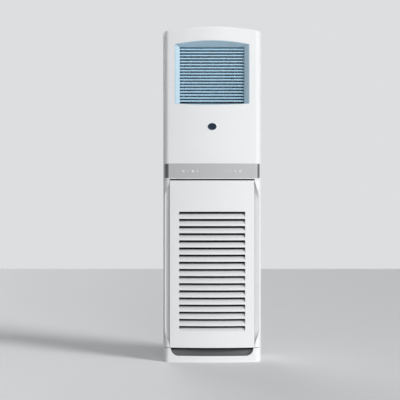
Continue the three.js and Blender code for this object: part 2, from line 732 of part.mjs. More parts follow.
// A four-walled duct with a wide flange. The side walls are notched for the vanes' pins,
// the top and bottom walls are bored for the deflectors' pins.
function outletDuct() {
  const wall = mouldWall;
  const [xIn, zLow, zHigh] = [grilleHalfWidth, grilleBottomZ, grilleTopZ];
  const notch = vanePinRadius + runGap;
  const sideLine = [[ductRearY, zLow - wall], [ductRearY, zHigh + wall], [ductFrontY, zHigh + wall]];
  for (let i = 0; i < vaneCount; i += 1) {
    const z = vaneZ(i);
    sideLine.push([ductFrontY, z + notch], [vaneY + notch, z + notch], [vaneY + notch, z - notch], [ductFrontY, z - notch]);
  }
  sideLine.push([ductFrontY, zLow - wall]);
  const sides = [[-xIn - wall, -xIn], [xIn, xIn + wall]].map(([x0, x1]) => prismX(sideLine, x0, x1));
  const plate = [[-xIn - 1, ductFrontY], [xIn + 1, ductFrontY], [xIn + 1, ductRearY], [-xIn - 1, ductRearY]];
  const bores = Array.from({ length: deflectorCount }, (_, i) => circle(deflectorX(i), deflectorY, vanePinRadius + runGap, 8));
  const decks = [[zLow - wall, zLow], [zHigh, zHigh + wall]].map(([z0, z1]) => prismZ(plate, z0, z1, bores));
  const reach = halfWidth - sheetWall - fitGap;
  const top = topCoverZ - 12;
  const frame = [[-reach, bulkheadBottomZ], [reach, bulkheadBottomZ], [reach, top], [-reach, top]];
  const hole = [[-xIn - 1, zLow - 1], [xIn + 1, zLow - 1], [xIn + 1, zHigh + 1], [-xIn - 1, zHigh + 1]];
  return join(...sides, ...decks, prismY(frame, mountPlateY, mountPlateY + sheetWall, [hole]));
}

// A blade's section along its chord, tapered at both edges and turned by an angle.
function bladeLine(chord, thickness, angle, cu, cv) {
  const [half, thick] = [chord / 2, thickness / 2];
  const tip = 0.4 * thick;
  const line = [[-half, -tip], [0, -thick], [half, -tip], [half, tip], [0, thick], [-half, tip]];
  return line.map(([u, v]) => [
    cu + u * Math.cos(angle) - v * Math.sin(angle),
    cv + u * Math.sin(angle) + v * Math.cos(angle),
  ]);
}

// One vane about its own pins, with a crank ear at its rear edge.
function vaneBlade() {
  const reach = grilleHalfWidth - vaneEndGap;
  const pin = circle(0, 0, vanePinRadius, 6);
  const crankAt = [crankRadius * Math.cos(vaneRad), crankRadius * Math.sin(vaneRad)];
  const across = [-Math.sin(vaneRad) * vaneThickness * 0.4, Math.cos(vaneRad) * vaneThickness * 0.4];
  const nearAt = crankAt.map((v) => v * 0.55);
  const farAt = crankAt.map((v) => v * 1.08);
  const ear = [
    [nearAt[0] - across[0], nearAt[1] - across[1]], [farAt[0] - across[0], farAt[1] - across[1]],
    [farAt[0] + across[0], farAt[1] + across[1]], [nearAt[0] + across[0], nearAt[1] + across[1]],
  ];
  return join(
    prismX(bladeLine(vaneChord, vaneThickness, vaneRad, 0, 0), -reach, reach),
    prismX(pin, -vanePinReach, -reach + 1),
    prismX(pin, reach - 1, vanePinReach),
    prismX(ear, crankX, crankX + linkThickness),
    prismX(circle(...crankAt, crankPinRadius, 6), crankX - linkThickness - 1.5, crankX + 0.5),
  );
}

// The bar that joins the vanes' crank pins, with a notch open to the rear for each.
function vaneLink() {
  const notch = crankPinRadius + runGap;
  const y = vaneY + crankRadius * Math.cos(vaneRad);
  const rise = crankRadius * Math.sin(vaneRad);
  const [front, rear, end] = [y - 3.4, y + 4, 3.2];
  const line = [[rear, vaneZ(vaneCount - 1) + rise - end], [front, vaneZ(vaneCount - 1) + rise - end],
    [front, vaneZ(0) + rise + end], [rear, vaneZ(0) + rise + end]];
  for (let i = 0; i < vaneCount; i += 1) {
    const z = vaneZ(i) + rise;
    line.push([rear, z + notch], [y - notch, z + notch], [y - notch, z - notch], [rear, z - notch]);
  }
  return prismX(line, crankX - linkThickness - fitGap, crankX - fitGap);
}

function deflectorBlade() {
  const line = bladeLine(deflectorChord, deflectorThickness, Math.PI / 2, 0, 0);
  const pin = circle(0, 0, vanePinRadius, 6);
  const crankPin = circle(0, deflectorCrank, crankPinRadius, 6);
  return join(
    prismZ(line, deflectorLow, deflectorHigh),
    prismZ(pin, grilleBottomZ - mouldWall + fitGap, deflectorLow + 1),
    prismZ(pin, deflectorHigh - 1, grilleTopZ + mouldWall - fitGap),
    prismZ(crankPin, deflectorHigh - 3, deflectorHigh + fitGap + linkThickness + 1.5),
  );
}

function deflectorLink() {
  const notch = crankPinRadius + runGap;
  const y = deflectorY + deflectorCrank;
  const [front, rear] = [y - 4, y + 4];
  const end = deflectorX(deflectorCount - 1) + 5;
  const line = [[-end, rear], [-end, front], [end, front], [end, rear]];
  for (let i = deflectorCount - 1; i >= 0; i -= 1) {
    const x = deflectorX(i);
    line.push([x + notch, rear], [x + notch, y - notch], [x - notch, y - notch], [x - notch, rear]);
  }
  return prismZ(line, deflectorHigh + fitGap, deflectorHigh + fitGap + linkThickness);
}

// A round gear motor on two ears, over the middle deflector's pin.
function swingMotor() {
  const base = grilleTopZ + mouldWall + fitGap;
  const ear = [[-22, deflectorY - 4], [22, deflectorY - 4], [22, deflectorY + 4], [-22, deflectorY + 4]];
  return join(
    prismZ(circle(0, deflectorY, swingMotorRadius, 20), base, base + swingMotorHeight),
    prismZ(ear, base, base + 2),
    block(-7, 7, deflectorY + swingMotorRadius - 4, deflectorY + swingMotorRadius + 4, base + 3, base + swingMotorHeight - 2),
  );
}

// ---------- fan ----------

// The scroll's outline, from its tongue clockwise round to the straight side that leads up.
function scrollLine(inset) {
  const start = THREE.MathUtils.degToRad(tongueAngle);
  const sweep = start + Math.PI;
  const growth = Math.log(scrollEnd / scrollStart) / sweep;
  const steps = 20;
  const line = Array.from({ length: steps + 1 }, (_, i) => {
    const turned = (sweep * i) / steps;
    const radius = scrollStart * Math.exp(growth * turned) - inset;
    return [radius * Math.cos(start - turned), fanZ + radius * Math.sin(start - turned)];
  });
  const throatX = scrollStart * Math.cos(start) - inset;
  const top = deckZ - fitGap + inset;
  return [[throatX, top], ...line, [line.at(-1)[0], top]];
}

function fanHousing() {
  const inner = prismY(scrollLine(sheetWall), housingFrontY + sheetWall, housingBackY - sheetWall);
  const inlet = prismY(circle(0, fanZ, inletRadius + 13, 24), housingFrontY - 1, housingFrontY + sheetWall + 1);
  const motorHole = prismY(circle(0, fanZ, 40, 16), housingBackY - sheetWall - 1, housingBackY + 1);
  return cut(prismY(scrollLine(0), housingFrontY, housingBackY), inner, inlet, motorHole);
}

// A flared nozzle with a flat flange, in front of the housing's inlet.
function inletRing() {
  const flangeBack = housingFrontY - fitGap;
  return spunY([
    [inletRadius + 26, flangeBack], [inletRadius + 10, flangeBack], [inletRadius + 3, flangeBack + 8],
    [inletRadius + 2, wheelFrontY + 8], [inletRadius, wheelFrontY + 8], [inletRadius + 1, flangeBack + 4],
    [inletRadius + 9, flangeBack - sheetWall], [inletRadius + 26, flangeBack - sheetWall],
  ], fanZ, 24);
}

// A drum of forward-curved blades between a front ring and a back plate with a hub.
function blowerWheel() {
  const sides = 28;
  const bore = shaftRadius + runGap;
  const ring = spunY([
    [wheelRadius - 10, wheelFrontY], [wheelRadius, wheelFrontY], [wheelRadius, wheelFrontY + 5], [wheelRadius - 10, wheelFrontY + 5],
  ], fanZ, sides);
  const back = spunY([
    [bore, wheelBackY - 16], [20, wheelBackY - 16], [24, wheelBackY - 3], [wheelRadius, wheelBackY - 3],
    [wheelRadius, wheelBackY], [22, wheelBackY], [20, wheelBackY + 8], [bore, wheelBackY + 8],
  ], fanZ, sides);
  const blades = Array.from({ length: wheelBladeCount }, (_, i) => {
    const turn = (2 * Math.PI * i) / wheelBladeCount;
    const at = (radius, lead) => [radius * Math.cos(turn + lead), fanZ + radius * Math.sin(turn + lead)];
    const tip = wheelRadius - 2.5;
    const line = [at(wheelBladeInner, 0), at(tip, -0.09), at(tip, -0.068), at(wheelBladeInner, 0.018)];
    return prismY(line, wheelFrontY + 1, wheelBackY - 1);
  });
  return join(ring, back, ...blades);
}

const bracketY = housingBackY + fitGap;
const motorY = bracketY + sheetWall + fitGap;

function motorBracket() {
  const arm = 36;
  const reach = 128;
  const cross = [
    [-arm, -reach], [arm, -reach], [arm, -arm], [reach, -arm], [reach, arm], [arm, arm],
    [arm, reach], [-arm, reach], [-arm, arm], [-reach, arm], [-reach, -arm], [-arm, -arm],
  ].map(([x, z]) => [x, fanZ + z]);
  return prismY(cross, bracketY, bracketY + sheetWall, [circle(0, fanZ, 22, 16)]);
}

function fanMotor() {
  const bore = shaftRadius + runGap;
  return spunY([
    [bore, motorY], [motorRadius - 4, motorY], [motorRadius, motorY + 4], [motorRadius, motorY + motorLength - 6],
    [motorRadius - 6, motorY + motorLength], [16, motorY + motorLength], [14, motorY + motorLength + 9], [bore, motorY + motorLength + 9],
  ], fanZ, 28);
}

function motorShaft() {
  return prismY(circle(0, fanZ, shaftRadius, 12), wheelBackY - 18, motorY + motorLength + 6);
}

// ---------- cooling and water ----------

// The coil stands in the drain pan and leans to the front. Its pieces are made upright,
// about the middle of its foot, and turned as one group.
const panFloorZ = deckZ + sheetWall + fitGap + sheetWall;
const coilFootY = (panFrontY + backPlateY) / 2;
const coilFootZ = panFloorZ + fitGap + (coilThickness / 2) * Math.sin(coilRad);
const tubeSheetX = coilHalfWidth + fitGap;
const coilBendPitch = coilLength / coilBendCount;

function evaporatorFins() {
  const half = coilThickness / 2;
  const pitch = (2 * coilHalfWidth - sheetWall) / (coilFinCount - 1);
  const web = 3;
  const line = [[-coilHalfWidth, half], [-coilHalfWidth, -half]];
  for (let i = 0; i < coilFinCount - 1; i += 1) {
    const x = -coilHalfWidth + i * pitch + sheetWall;
    line.push([x, -half], [x, half - web], [x + pitch - sheetWall, half - web], [x + pitch - sheetWall, -half]);
  }
  line.push([coilHalfWidth, -half], [coilHalfWidth, half]);
  return prismZ(line, 0, coilLength);
}

// A tube sheet with a row of return bends.
function evaporatorTubes() {
  const half = coilThickness / 2;
  const sheet = block(tubeSheetX, tubeSheetX + sheetWall, -half, half, 0, coilLength);
  const pitch = coilBendPitch;
  const bends = Array.from({ length: coilBendCount }, (_, i) => {
    const z = pitch * (i + 0.5);
    const span = pitch * 0.28;
    const root = tubeSheetX + sheetWall - 1;
    return bar([[root, -8, z - span], [root + 14, -4, z - span], [root + 21, 0, z], [root + 14, 4, z + span], [root, 8, z + span]],
      tubeRadius, 5, 6);
  });
  return join(sheet, ...bends);
}

function drainPan() {
  const low = deckZ + sheetWall + fitGap;
  const rear = backPlateY - fitGap;
  const spout = prismZ(circle(spoutX, spoutY, hoseRadius - 3, 10), low - spoutDrop, low + 1);
  return join(cut(
    block(-panHalfWidth, panHalfWidth, panFrontY, rear, low, low + panHeight),
    block(-panHalfWidth + sheetWall, panHalfWidth - sheetWall, panFrontY + sheetWall, rear - sheetWall, low + sheetWall, low + panHeight + 1),
  ), spout);
}

function deckPlate() {
  const reach = sideInner - fitGap;
  const outline = [[-reach, mountPlateY], [reach, mountPlateY], [reach, innerRearY], [-reach, innerRearY]];
  const throat = scrollStart * Math.cos(THREE.MathUtils.degToRad(tongueAngle));
  const outlet = [[-scrollEnd + sheetWall, housingFrontY + sheetWall], [throat - sheetWall, housingFrontY + sheetWall],
    [throat - sheetWall, panFrontY - 2], [-scrollEnd + sheetWall, panFrontY - 2]];
  const pipes = [[pipeX - 12, gasPipeY - 14], [pipeX + 12, gasPipeY - 14], [pipeX + 12, liquidPipeY + 12], [pipeX - 12, liquidPipeY + 12]];
  return prismZ(outline, deckZ, deckZ + sheetWall, [outlet, pipes, circle(spoutX, spoutY, hoseRadius, 12)]);
}

// A refrigerant pipe from between two return bends, down the right-hand rear corner and
// back to its flare nut at the hole. along is the distance up the coil.
function refrigerantPipe(radius, along, y, holeZ, inset) {
  const end = pipeEndY;
  const bend = 5 * radius;
  const startY = coilFootY - along * Math.sin(coilRad);
  const startZ = coilFootZ + along * Math.cos(coilRad);
  const startX = tubeSheetX + sheetWall + fitGap;
  const holeX = pipeHoleX + inset;
  const nut = prismY(circle(holeX, holeZ, radius * 1.7, 6), end - 2.4 * radius, end);
  const run = bar([
    [startX, startY, startZ], [startX + 6, startY, startZ], [startX + 14, startY, startZ], [pipeX - 10, startY, startZ - 3],
    [pipeX, startY + 4, startZ - 0.375 * pipeCornerDrop], [pipeX, (startY + y) / 2, startZ - 0.675 * pipeCornerDrop],
    [pipeX, y, startZ - pipeCornerDrop], [pipeX, y, deckZ - 20],
    [pipeX, y, holeZ + bend + 40], [pipeX - 4, y, holeZ + bend],
    [holeX, y + 6, holeZ + 6], [holeX, end - 2 * radius, holeZ],
  ], radius, 7, 24);
  return join(run, nut);
}

function drainHose() {
  const low = deckZ + sheetWall + fitGap;
  const x = spoutX;
  const turn = 10 * hoseRadius; // height in which the hose turns to the hole
  const exitZ = pipeHoleZ - 24;
  return bar([
    [x, spoutY, low - spoutDrop - fitGap], [x, spoutY, low - spoutDrop - 64], [x, spoutY, pipeHoleZ + turn],
    [x, spoutY + 4, pipeHoleZ + 10], [x, pipeEndY - 18, exitZ + 2], [x, pipeEndY, exitZ],
  ], hoseRadius, 7, 16);
}

// ---------- electrics ----------

const boxRearY = mountPlateY;
const boxFrontY = boxRearY - boxDepth;
const terminalX = [boxHalfWidth - terminalInset - terminalWidth, boxHalfWidth - terminalInset];
const mainBoardX = [-boxHalfWidth + boardInset, terminalX[0] - terminalInset];

// An open-fronted steel box, with ears that reach the side panels' flanges.
function controlBox() {
  const reach = sideInner - fitGap - 2;
  const ears = prismY([[-reach, boxBottomZ + 20], [reach, boxBottomZ + 20], [reach, boxTopZ - 20], [-reach, boxTopZ - 20]],
    boxRearY, boxRearY + sheetWall);
  const rear = boxRearY + sheetWall;
  const shell = cut(
    block(-boxHalfWidth, boxHalfWidth, boxFrontY, rear, boxBottomZ, boxTopZ),
    block(-boxHalfWidth + sheetWall, boxHalfWidth - sheetWall, boxFrontY - 1, rear - sheetWall, boxBottomZ + sheetWall, boxTopZ - sheetWall),
  );
  const bossDepth = 5;
  const [left, right] = [mainBoardX[0] + 10, mainBoardX[1] - 10];
  const [low, high] = [boxBottomZ + boardMargin + 10, boxTopZ - boardMargin - 10];
  const bosses = [[left, low], [right, low], [left, high], [right, high]].map(
    ([x, z]) => prismY(circle(x, z, 3.5, 8), rear - sheetWall - bossDepth, rear - 0.5),
  );
  return join(shell, ears, ...bosses);
}

function controlBoxLid() {
  return block(-boxHalfWidth, boxHalfWidth, boxFrontY - fitGap - 1.5, boxFrontY - fitGap, boxBottomZ, boxTopZ);
}

function mainBoard() {
  const rear = boxRearY - 5 - fitGap;
  const [left, right] = mainBoardX;
  const pitch = (right - left) / 3;
  const partsZ = boxBottomZ + 40;
  const parts = [[40, 14], [50, 10], [30, 12]].map(([width, tall], i) => {
    const x = left + pitch * (i + 0.5) - width / 2;
    return block(x, x + width, rear - boardThickness - tall, rear - boardThickness + 0.5, partsZ, partsZ + width);
  });
  return join(block(left, right, rear - boardThickness, rear, boxBottomZ + boardMargin, boxTopZ - boardMargin), ...parts);
}

function terminalBlock() {
  const rear = boxRearY - fitGap;
  const [left, right] = terminalX;
  const low = boxBottomZ + 40;
  const ways = 6;
  const pitch = (right - left) / ways;
  const line = [[left, rear], [left, rear - 16]];
  for (let i = 0; i < ways - 1; i += 1) {
    const x = left + pitch * (i + 1);
    line.push([x - 5, rear - 16], [x - 5, rear - 8], [x - 1, rear - 8], [x - 1, rear - 16]);
  }
  line.push([right, rear - 16], [right, rear]);
  return prismZ(line, low, low + 40);
}

// ---------- assembly ----------

const { shell, casing, silver, navy, vane, duct, darkPlastic, netting, zinc, fins, copper, board, hose, basePaint } = finishes;
const number = (i) => String(i + 1).padStart(2, '0');

const casingGroup = group(
  piece('base_pan', basePan(), basePaint),
  piece('base_trim', baseTrim(), shell),
  piece('side_panel_left', sidePanel(-1), casing),
  piece('side_panel_right', sidePanel(1), casing),
  piece('back_panel', backPanel(), casing),
  piece('top_cover', topCover(), shell),
  piece('wall_bracket', wallBracket(), zinc),
);

const frontGroup = group(
  piece('upper_front_panel', upperFrontPanel(), shell),
  piece('outlet_bezel', outletBezel(), vane),
  piece('badge_cap', badgeCap(), navy),
  piece('control_band', controlBand(), silver),
  piece('display_board', displayBoard(), board),
  piece('side_trim_left', sideTrim(-1), shell),
  piece('side_trim_right', sideTrim(1), shell),
  piece('intake_panel', intakePanel(), shell),
  piece('air_filter', airFilter(), netting),
);

const vaneSolid = vaneBlade();
const vanes = Array.from({ length: vaneCount }, (_, i) => {
  const mesh = piece(`vane_${number(i)}`, vaneSolid, vane);
  mesh.position.set(0, vaneY, vaneZ(i));
  return mesh;
});

const deflectorSolid = deflectorBlade();
const deflectors = Array.from({ length: deflectorCount }, (_, i) => {
  const mesh = piece(`deflector_${i + 1}`, deflectorSolid, darkPlastic);
  mesh.position.set(deflectorX(i), deflectorY, 0);
  return mesh;
});

const outletGroup = group(
  piece('outlet_duct', outletDuct(), duct),
  ...vanes,
  piece('vane_link', vaneLink(), darkPlastic),
  ...deflectors,
  piece('deflector_link', deflectorLink(), darkPlastic),
  piece('swing_motor', swingMotor(), zinc),
);

const fanGroup = group(
  piece('fan_housing', fanHousing(), zinc),
  piece('inlet_ring', inletRing(), darkPlastic),
  piece('blower_wheel', blowerWheel(), darkPlastic),
  piece('motor_shaft', motorShaft(), zinc),
  piece('fan_motor', fanMotor(), darkPlastic),
  piece('motor_bracket', motorBracket(), zinc),
);

const coilGroup = group(
  piece('evaporator_fins', evaporatorFins(), fins),
  piece('evaporator_tubes', evaporatorTubes(), copper),
);
coilGroup.position.set(0, coilFootY, coilFootZ);
coilGroup.rotation.x = coilRad;

const waterGroup = group(
  piece('deck_plate', deckPlate(), zinc),
  piece('drain_pan', drainPan(), hose),
  piece('drain_hose', drainHose(), hose),
  piece('gas_pipe', refrigerantPipe(gasPipeRadius, 2 * coilBendPitch, gasPipeY, pipeHoleZ + 18, 12), copper),
  piece('liquid_pipe', refrigerantPipe(liquidPipeRadius, coilBendPitch, liquidPipeY, pipeHoleZ - 10, 18), copper),
);

const electricsGroup = group(
  piece('control_box', controlBox(), zinc),
  piece('control_box_lid', controlBoxLid(), zinc),
  piece('main_board', mainBoard(), board),
  piece('terminal_block', terminalBlock(), shell),
);

const airConditioner = group(casingGroup, frontGroup, outletGroup, fanGroup, coilGroup, waterGroup, electricsGroup);
airConditioner.name = 'floor_standing_air_conditioner';

export default airConditioner;
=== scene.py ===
# A floor standing air conditioner: finish and fine shape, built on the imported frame.

import json
import math

import bmesh
import bpy
from mathutils import Matrix, Vector


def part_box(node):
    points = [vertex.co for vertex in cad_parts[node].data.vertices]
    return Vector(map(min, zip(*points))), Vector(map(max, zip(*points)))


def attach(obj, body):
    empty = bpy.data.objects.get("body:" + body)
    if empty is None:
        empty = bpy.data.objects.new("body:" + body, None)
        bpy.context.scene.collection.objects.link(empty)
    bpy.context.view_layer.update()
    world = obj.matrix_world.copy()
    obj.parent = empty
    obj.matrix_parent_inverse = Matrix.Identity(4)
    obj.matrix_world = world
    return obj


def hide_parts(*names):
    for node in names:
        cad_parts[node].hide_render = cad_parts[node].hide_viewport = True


ops = bmesh.ops

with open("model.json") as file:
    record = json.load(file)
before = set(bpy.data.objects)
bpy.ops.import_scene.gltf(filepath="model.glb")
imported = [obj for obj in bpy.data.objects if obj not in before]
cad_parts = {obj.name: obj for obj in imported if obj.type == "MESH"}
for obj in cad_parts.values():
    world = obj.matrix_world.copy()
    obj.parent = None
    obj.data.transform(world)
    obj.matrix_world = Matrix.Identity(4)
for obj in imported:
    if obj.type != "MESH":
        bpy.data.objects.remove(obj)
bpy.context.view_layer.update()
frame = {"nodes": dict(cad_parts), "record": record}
print("frame loaded")

nodes = frame["nodes"]
bodyOf = {node: body for body, names in frame["record"]["behaviour"]["bodies"].items() for node in names}

# The bowed front and the crowned top. All the front's pieces follow the one outline and the
# top cover the other, so that neighbours stay flush.
upperLow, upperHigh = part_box("upper_front_panel")
bandLow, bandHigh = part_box("control_band")
boardLow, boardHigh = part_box("display_board")
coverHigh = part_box("top_cover")[1]
front = {
    "half": upperHigh.x, "apex": -upperLow.y, "bow": 0.022,
    "corner": 0.028, "cornerSteps": 10, "bowSteps": 48,
}
crown = {
    "half": coverHigh.x, "apex": coverHigh.z, "bow": 0.023,
    "corner": 0.018, "cornerSteps": 8, "bowSteps": 48,
}
sheetWall = 0.002
fitGap = 0.0003
past = 0.01  # a cutting tool runs this far past what it cuts
lap = 0.001  # solids that are joined reach this far into each other
beyond = 0.3  # outside the cabinet, to the front or to a side
behind = 0.1  # behind all the front's pieces
grooveOutset = 0.002  # a groove's tool starts this far before the front
softenFrom = math.radians(32)  # edges with a sharper turn than this are softened
sharpFrom = math.radians(40)  # and beyond this they shade as sharp before it


def linked(name, data):
    made = bpy.data.objects.new(name, data)
    bpy.context.scene.collection.objects.link(made)
    return made


def pieceFrom(bm, name, smoothAngle=35):
    ops.remove_doubles(bm, verts=bm.verts, dist=1e-6)
    ops.recalc_face_normals(bm, faces=bm.faces)
    mesh = bpy.data.meshes.new(name)
    bm.to_mesh(mesh)
    bm.free()
    mesh.shade_smooth()
    mesh.set_sharp_from_angle(angle=math.radians(smoothAngle))
    return linked(name, mesh)


def settled(piece):  # the piece's modifiers become its mesh
    depsgraph = bpy.context.evaluated_depsgraph_get()
    mesh = bpy.data.meshes.new_from_object(piece.evaluated_get(depsgraph))
    piece.modifiers.clear()
    piece.data = mesh


def combined(piece, tool, operation):  # the tool is used up
    change = piece.modifiers.new("cut", "BOOLEAN")
    change.object = tool
    change.operation = operation
    change.solver = "EXACT"
    settled(piece)
    bpy.data.objects.remove(tool)
    return piece


def cutAway(piece, *tools):
    for tool in tools:
        combined(piece, tool, "DIFFERENCE")
    return piece


def keepWithin(piece, tool):
    return combined(piece, tool, "INTERSECT")


def joined(piece, *tools):
    for tool in tools:
        combined(piece, tool, "UNION")
    return piece


def softened(piece, width, segments=3):
    piece.data.shade_smooth()
    piece.data.set_sharp_from_angle(angle=sharpFrom)
    bevel = piece.modifiers.new("soft edges", "BEVEL")
    bevel.width = width
    bevel.segments = segments
    bevel.limit_method = "ANGLE"
    bevel.angle_limit = softenFrom
    bevel.miter_outer = "MITER_ARC"
    settled(piece)
    piece.data.shade_smooth()
    weighted = piece.modifiers.new("even shading", "WEIGHTED_NORMAL")
    weighted.keep_sharp = True
    return piece


def bodyPiece(piece, node, look, *replaced, slot=None):  # the piece rides with the node's body
    piece.data.materials.clear()
    piece.data.materials.append(material[look])
    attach(piece, bodyOf[node])
    if replaced:
        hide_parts(*replaced)


def turnTo(axis):  # turns upright things to point along the axis
    return Vector(axis).to_track_quat("Z", "Y").to_matrix().to_4x4()


def cubeAt(bm, low, high):
    size = [b - a for a, b in zip(low, high)]
    middle = [(a + b) / 2 for a, b in zip(low, high)]
    matrix = Matrix.Translation(middle) @ Matrix.Diagonal((*size, 1))
    return ops.create_cube(bm, size=1, matrix=matrix)["verts"]


def blockPiece(name, low, high):
    bm = bmesh.new()
    cubeAt(bm, low, high)
    return pieceFrom(bm, name)


def barrelAt(bm, start, end, radius, segments=24, tip=None):
    axis = Vector(end) - Vector(start)
    place = Matrix.Translation((Vector(start) + Vector(end)) / 2) @ turnTo(axis)
    return ops.create_cone(
        bm, cap_ends=True, segments=segments, radius1=radius,
        radius2=radius if tip is None else tip, depth=axis.length, matrix=place,
    )["verts"]


def vertsIn(geom):
    return [item for item in geom if isinstance(item, bmesh.types.BMVert)]


def rectangle(x, z, width, height):  # its corners, from the middle of its foot
    return [(x - width / 2, z), (x + width / 2, z), (x + width / 2, z + height), (x - width / 2, z + height)]


def flatOutline(bm, points):
    return bm.faces.new([bm.verts.new(point) for point in points])


def roundedPlate(bm, points, rounded, offset, segments, y):  # some of its corners are rounded
    face = flatOutline(bm, [(x, y, z) for x, z in points])
    corners = [face.verts[i] for i in rounded]
    ops.bevel(bm, geom=corners, offset=offset, segments=segments, profile=0.5, affect="VERTICES")


def raised(bm, travel):  # the flat outline in bm becomes a closed solid
    moved = vertsIn(ops.extrude_face_region(bm, geom=bm.faces[:])["geom"])
    ops.translate(bm, verts=moved, vec=travel)
    return moved


def poured(bm, part):  # what part holds goes into bm
    mesh = bpy.data.meshes.new("part")
    part.to_mesh(mesh)
    part.free()
    bm.from_mesh(mesh)
    bpy.data.meshes.remove(mesh)


def spunTip(bm, tip, centre, axis, angle, steps):  # the far end of the arc that one vertex draws
    arc = ops.spin(bm, geom=[tip], cent=centre, axis=axis, angle=angle, steps=steps, use_duplicate=False)
    return vertsIn(arc["geom_last"])[0]


def arcRadius(half, sag):
    return (half ** 2 + sag ** 2) / (2 * sag)


# A flat outline with straight sides, two round corners and a bowed end, made by spinning
# one vertex. It stands in the X-Z plane for the crown and lies in the X-Y plane for the front.
def bowedOutline(bm, spec, inset, base, upright=False):
    radius = arcRadius(spec["half"], spec["bow"])
    centre = spec["apex"] - radius
    cornerX = spec["half"] - spec["corner"]
    cornerV = math.sqrt((radius - spec["corner"]) ** 2 - cornerX ** 2)
    lean = math.atan2(cornerX, cornerV)
    tip = bm.verts.new((spec["half"] - inset, centre + cornerV, 0))
    side = ops.extrude_vert_indiv(bm, verts=[tip])["verts"][0]
    side.co.y = base
    for middle, angle, steps in (
        ((cornerX, centre + cornerV, 0), math.pi / 2 - lean, spec["cornerSteps"]),
        ((0, centre, 0), 2 * lean, spec["bowSteps"]),
        ((-cornerX, centre + cornerV, 0), math.pi / 2 - lean, spec["cornerSteps"]),
    ):
        tip = spunTip(bm, tip, middle, (0, 0, 1), angle, steps)
    far = ops.extrude_vert_indiv(bm, verts=[tip])["verts"][0]
    far.co.y = base
    closing = bm.edges.new((far, side))
    ops.edgeloop_fill(bm, edges=[closing, *[e for e in bm.edges if e is not closing]])
    turn = Matrix.Rotation(math.pi / 2, 4, "X") if upright else Matrix.Rotation(math.pi, 4, "Z")
    ops.transform(bm, matrix=turn, verts=bm.verts)


def frontColumn(name, inset, base, low, high):  # the front's plan, raised between two heights
    bm = bmesh.new()
    bowedOutline(bm, front, inset, base)
    ops.translate(bm, verts=bm.verts, vec=(0, 0, low))
    raised(bm, (0, 0, high - low))
    return pieceFrom(bm, name)


def crownBlock(name, inset, base, frontY, backY):  # the crown's outline, run from front to back
    bm = bmesh.new()
    bowedOutline(bm, crown, inset, base, upright=True)
    ops.translate(bm, verts=bm.verts, vec=(0, frontY, 0))
    raised(bm, (0, backY - frontY, 0))
    return pieceFrom(bm, name)


def frontFace(x):  # the front's y at a given x
    radius = arcRadius(front["half"], front["bow"])
    return -front["apex"] + radius - math.sqrt(radius ** 2 - x ** 2)


# A slice of the bowed front between two widths, from outset before its face to depth behind that.
def slabAcross(name, fromX, toX, lowZ, highZ, outset, depth):
    column = frontColumn(name, -outset, -bandHigh.y, lowZ, highZ)
    low = (min(fromX, toX), -beyond, lowZ - past)
    high = (max(fromX, toX), behind, highZ + past)
    keepWithin(column, blockPiece("slice", low, high))
    core = frontColumn("core", depth - outset, -bandHigh.y - past, lowZ - past, highZ + past)
    return cutAway(column, core)


def grooveTool(line):  # for a thin groove right across the front
    return slabAcross(
        "groove", -beyond, beyond, line["z"] - line["half"], line["z"] + line["half"],
        grooveOutset, grooveOutset + line["depth"],
    )


def tree(name):  # an empty material, with a helper that adds a node and links what it is given
    material = bpy.data.materials.new(name)
    material.use_nodes = True
    links = material.node_tree.links
    shader = material.node_tree.nodes["Principled BSDF"]

    def add(kind, inputs=None, **settings):
        node = material.node_tree.nodes.new(kind)
        for key, value in settings.items():
            setattr(node, key, value)
        for key, value in (inputs or {}).items():
            if hasattr(value, "is_linked"):
                links.new(value, node.inputs[key])
            else:
                node.inputs[key].default_value = value
        return node

    return material, shader, links, add


def linear(colour):  # from the values as a screen shows them
    return tuple((c / 12.92 if c <= 0.04045 else ((c + 0.055) / 1.055) ** 2.4) for c in colour)


def shade(colour, gain):
    return (*[min(1, c * gain) for c in linear(colour)], 1)


def colourRamp(add, factor, span, colour, gains):
    ramp = add("ShaderNodeValToRGB", {"Fac": factor})
    for end, position, gain in zip(ramp.color_ramp.elements, span, gains):
        end.position = position
        end.color = shade(colour, gain)
    return ramp.outputs["Color"]


# Colour drifts slowly over the surface, roughness has a cloudy and a fine part, and the bump
# is the fine pebble of a moulded or painted face.
def finish(name, look):
    look = {**plainLook, **look}
    material, shader, links, add = tree(name)
    where = add("ShaderNodeTexCoord").outputs["Object"]
    mapping = add("ShaderNodeMapping", {"Vector": where, "Scale": look["stretch"]})

    def noise(scale, detail):
        inputs = {"Vector": mapping.outputs["Vector"], "Scale": scale, "Detail": detail}
        return add("ShaderNodeTexNoise", inputs).outputs["Fac"]

    cloud = noise(look["scales"][0], 3.0)
    fine = noise(look["scales"][1], 2.0)
    gains = (1 - look["drift"], 1 + look["drift"])
    links.new(colourRamp(add, cloud, (0.3, 0.7), look["colour"], gains), shader.inputs["Base Color"])
    mixed = add("ShaderNodeMath", {0: cloud, 1: fine}, operation="ADD").outputs["Value"]
    rough, spread = look["rough"]
    spreadOut = add("ShaderNodeMapRange", {
        "Value": mixed, "From Min": 0.7, "From Max": 1.3, "To Min": rough - spread, "To Max": rough + spread,
    })
    links.new(spreadOut.outputs["Result"], shader.inputs["Roughness"])
    strength, depth = look["bump"]
    bump = add("ShaderNodeBump", {"Height": fine, "Strength": strength, "Distance": depth})
    links.new(bump.outputs["Normal"], shader.inputs["Normal"])
    for socket, value in (
        ("Metallic", look["metal"]), ("Coat Weight", look["coat"][0]), ("Coat Roughness", look["coat"][1]),
        ("Specular IOR Level", look["shine"]),
    ):
        shader.inputs[socket].default_value = value
    return material


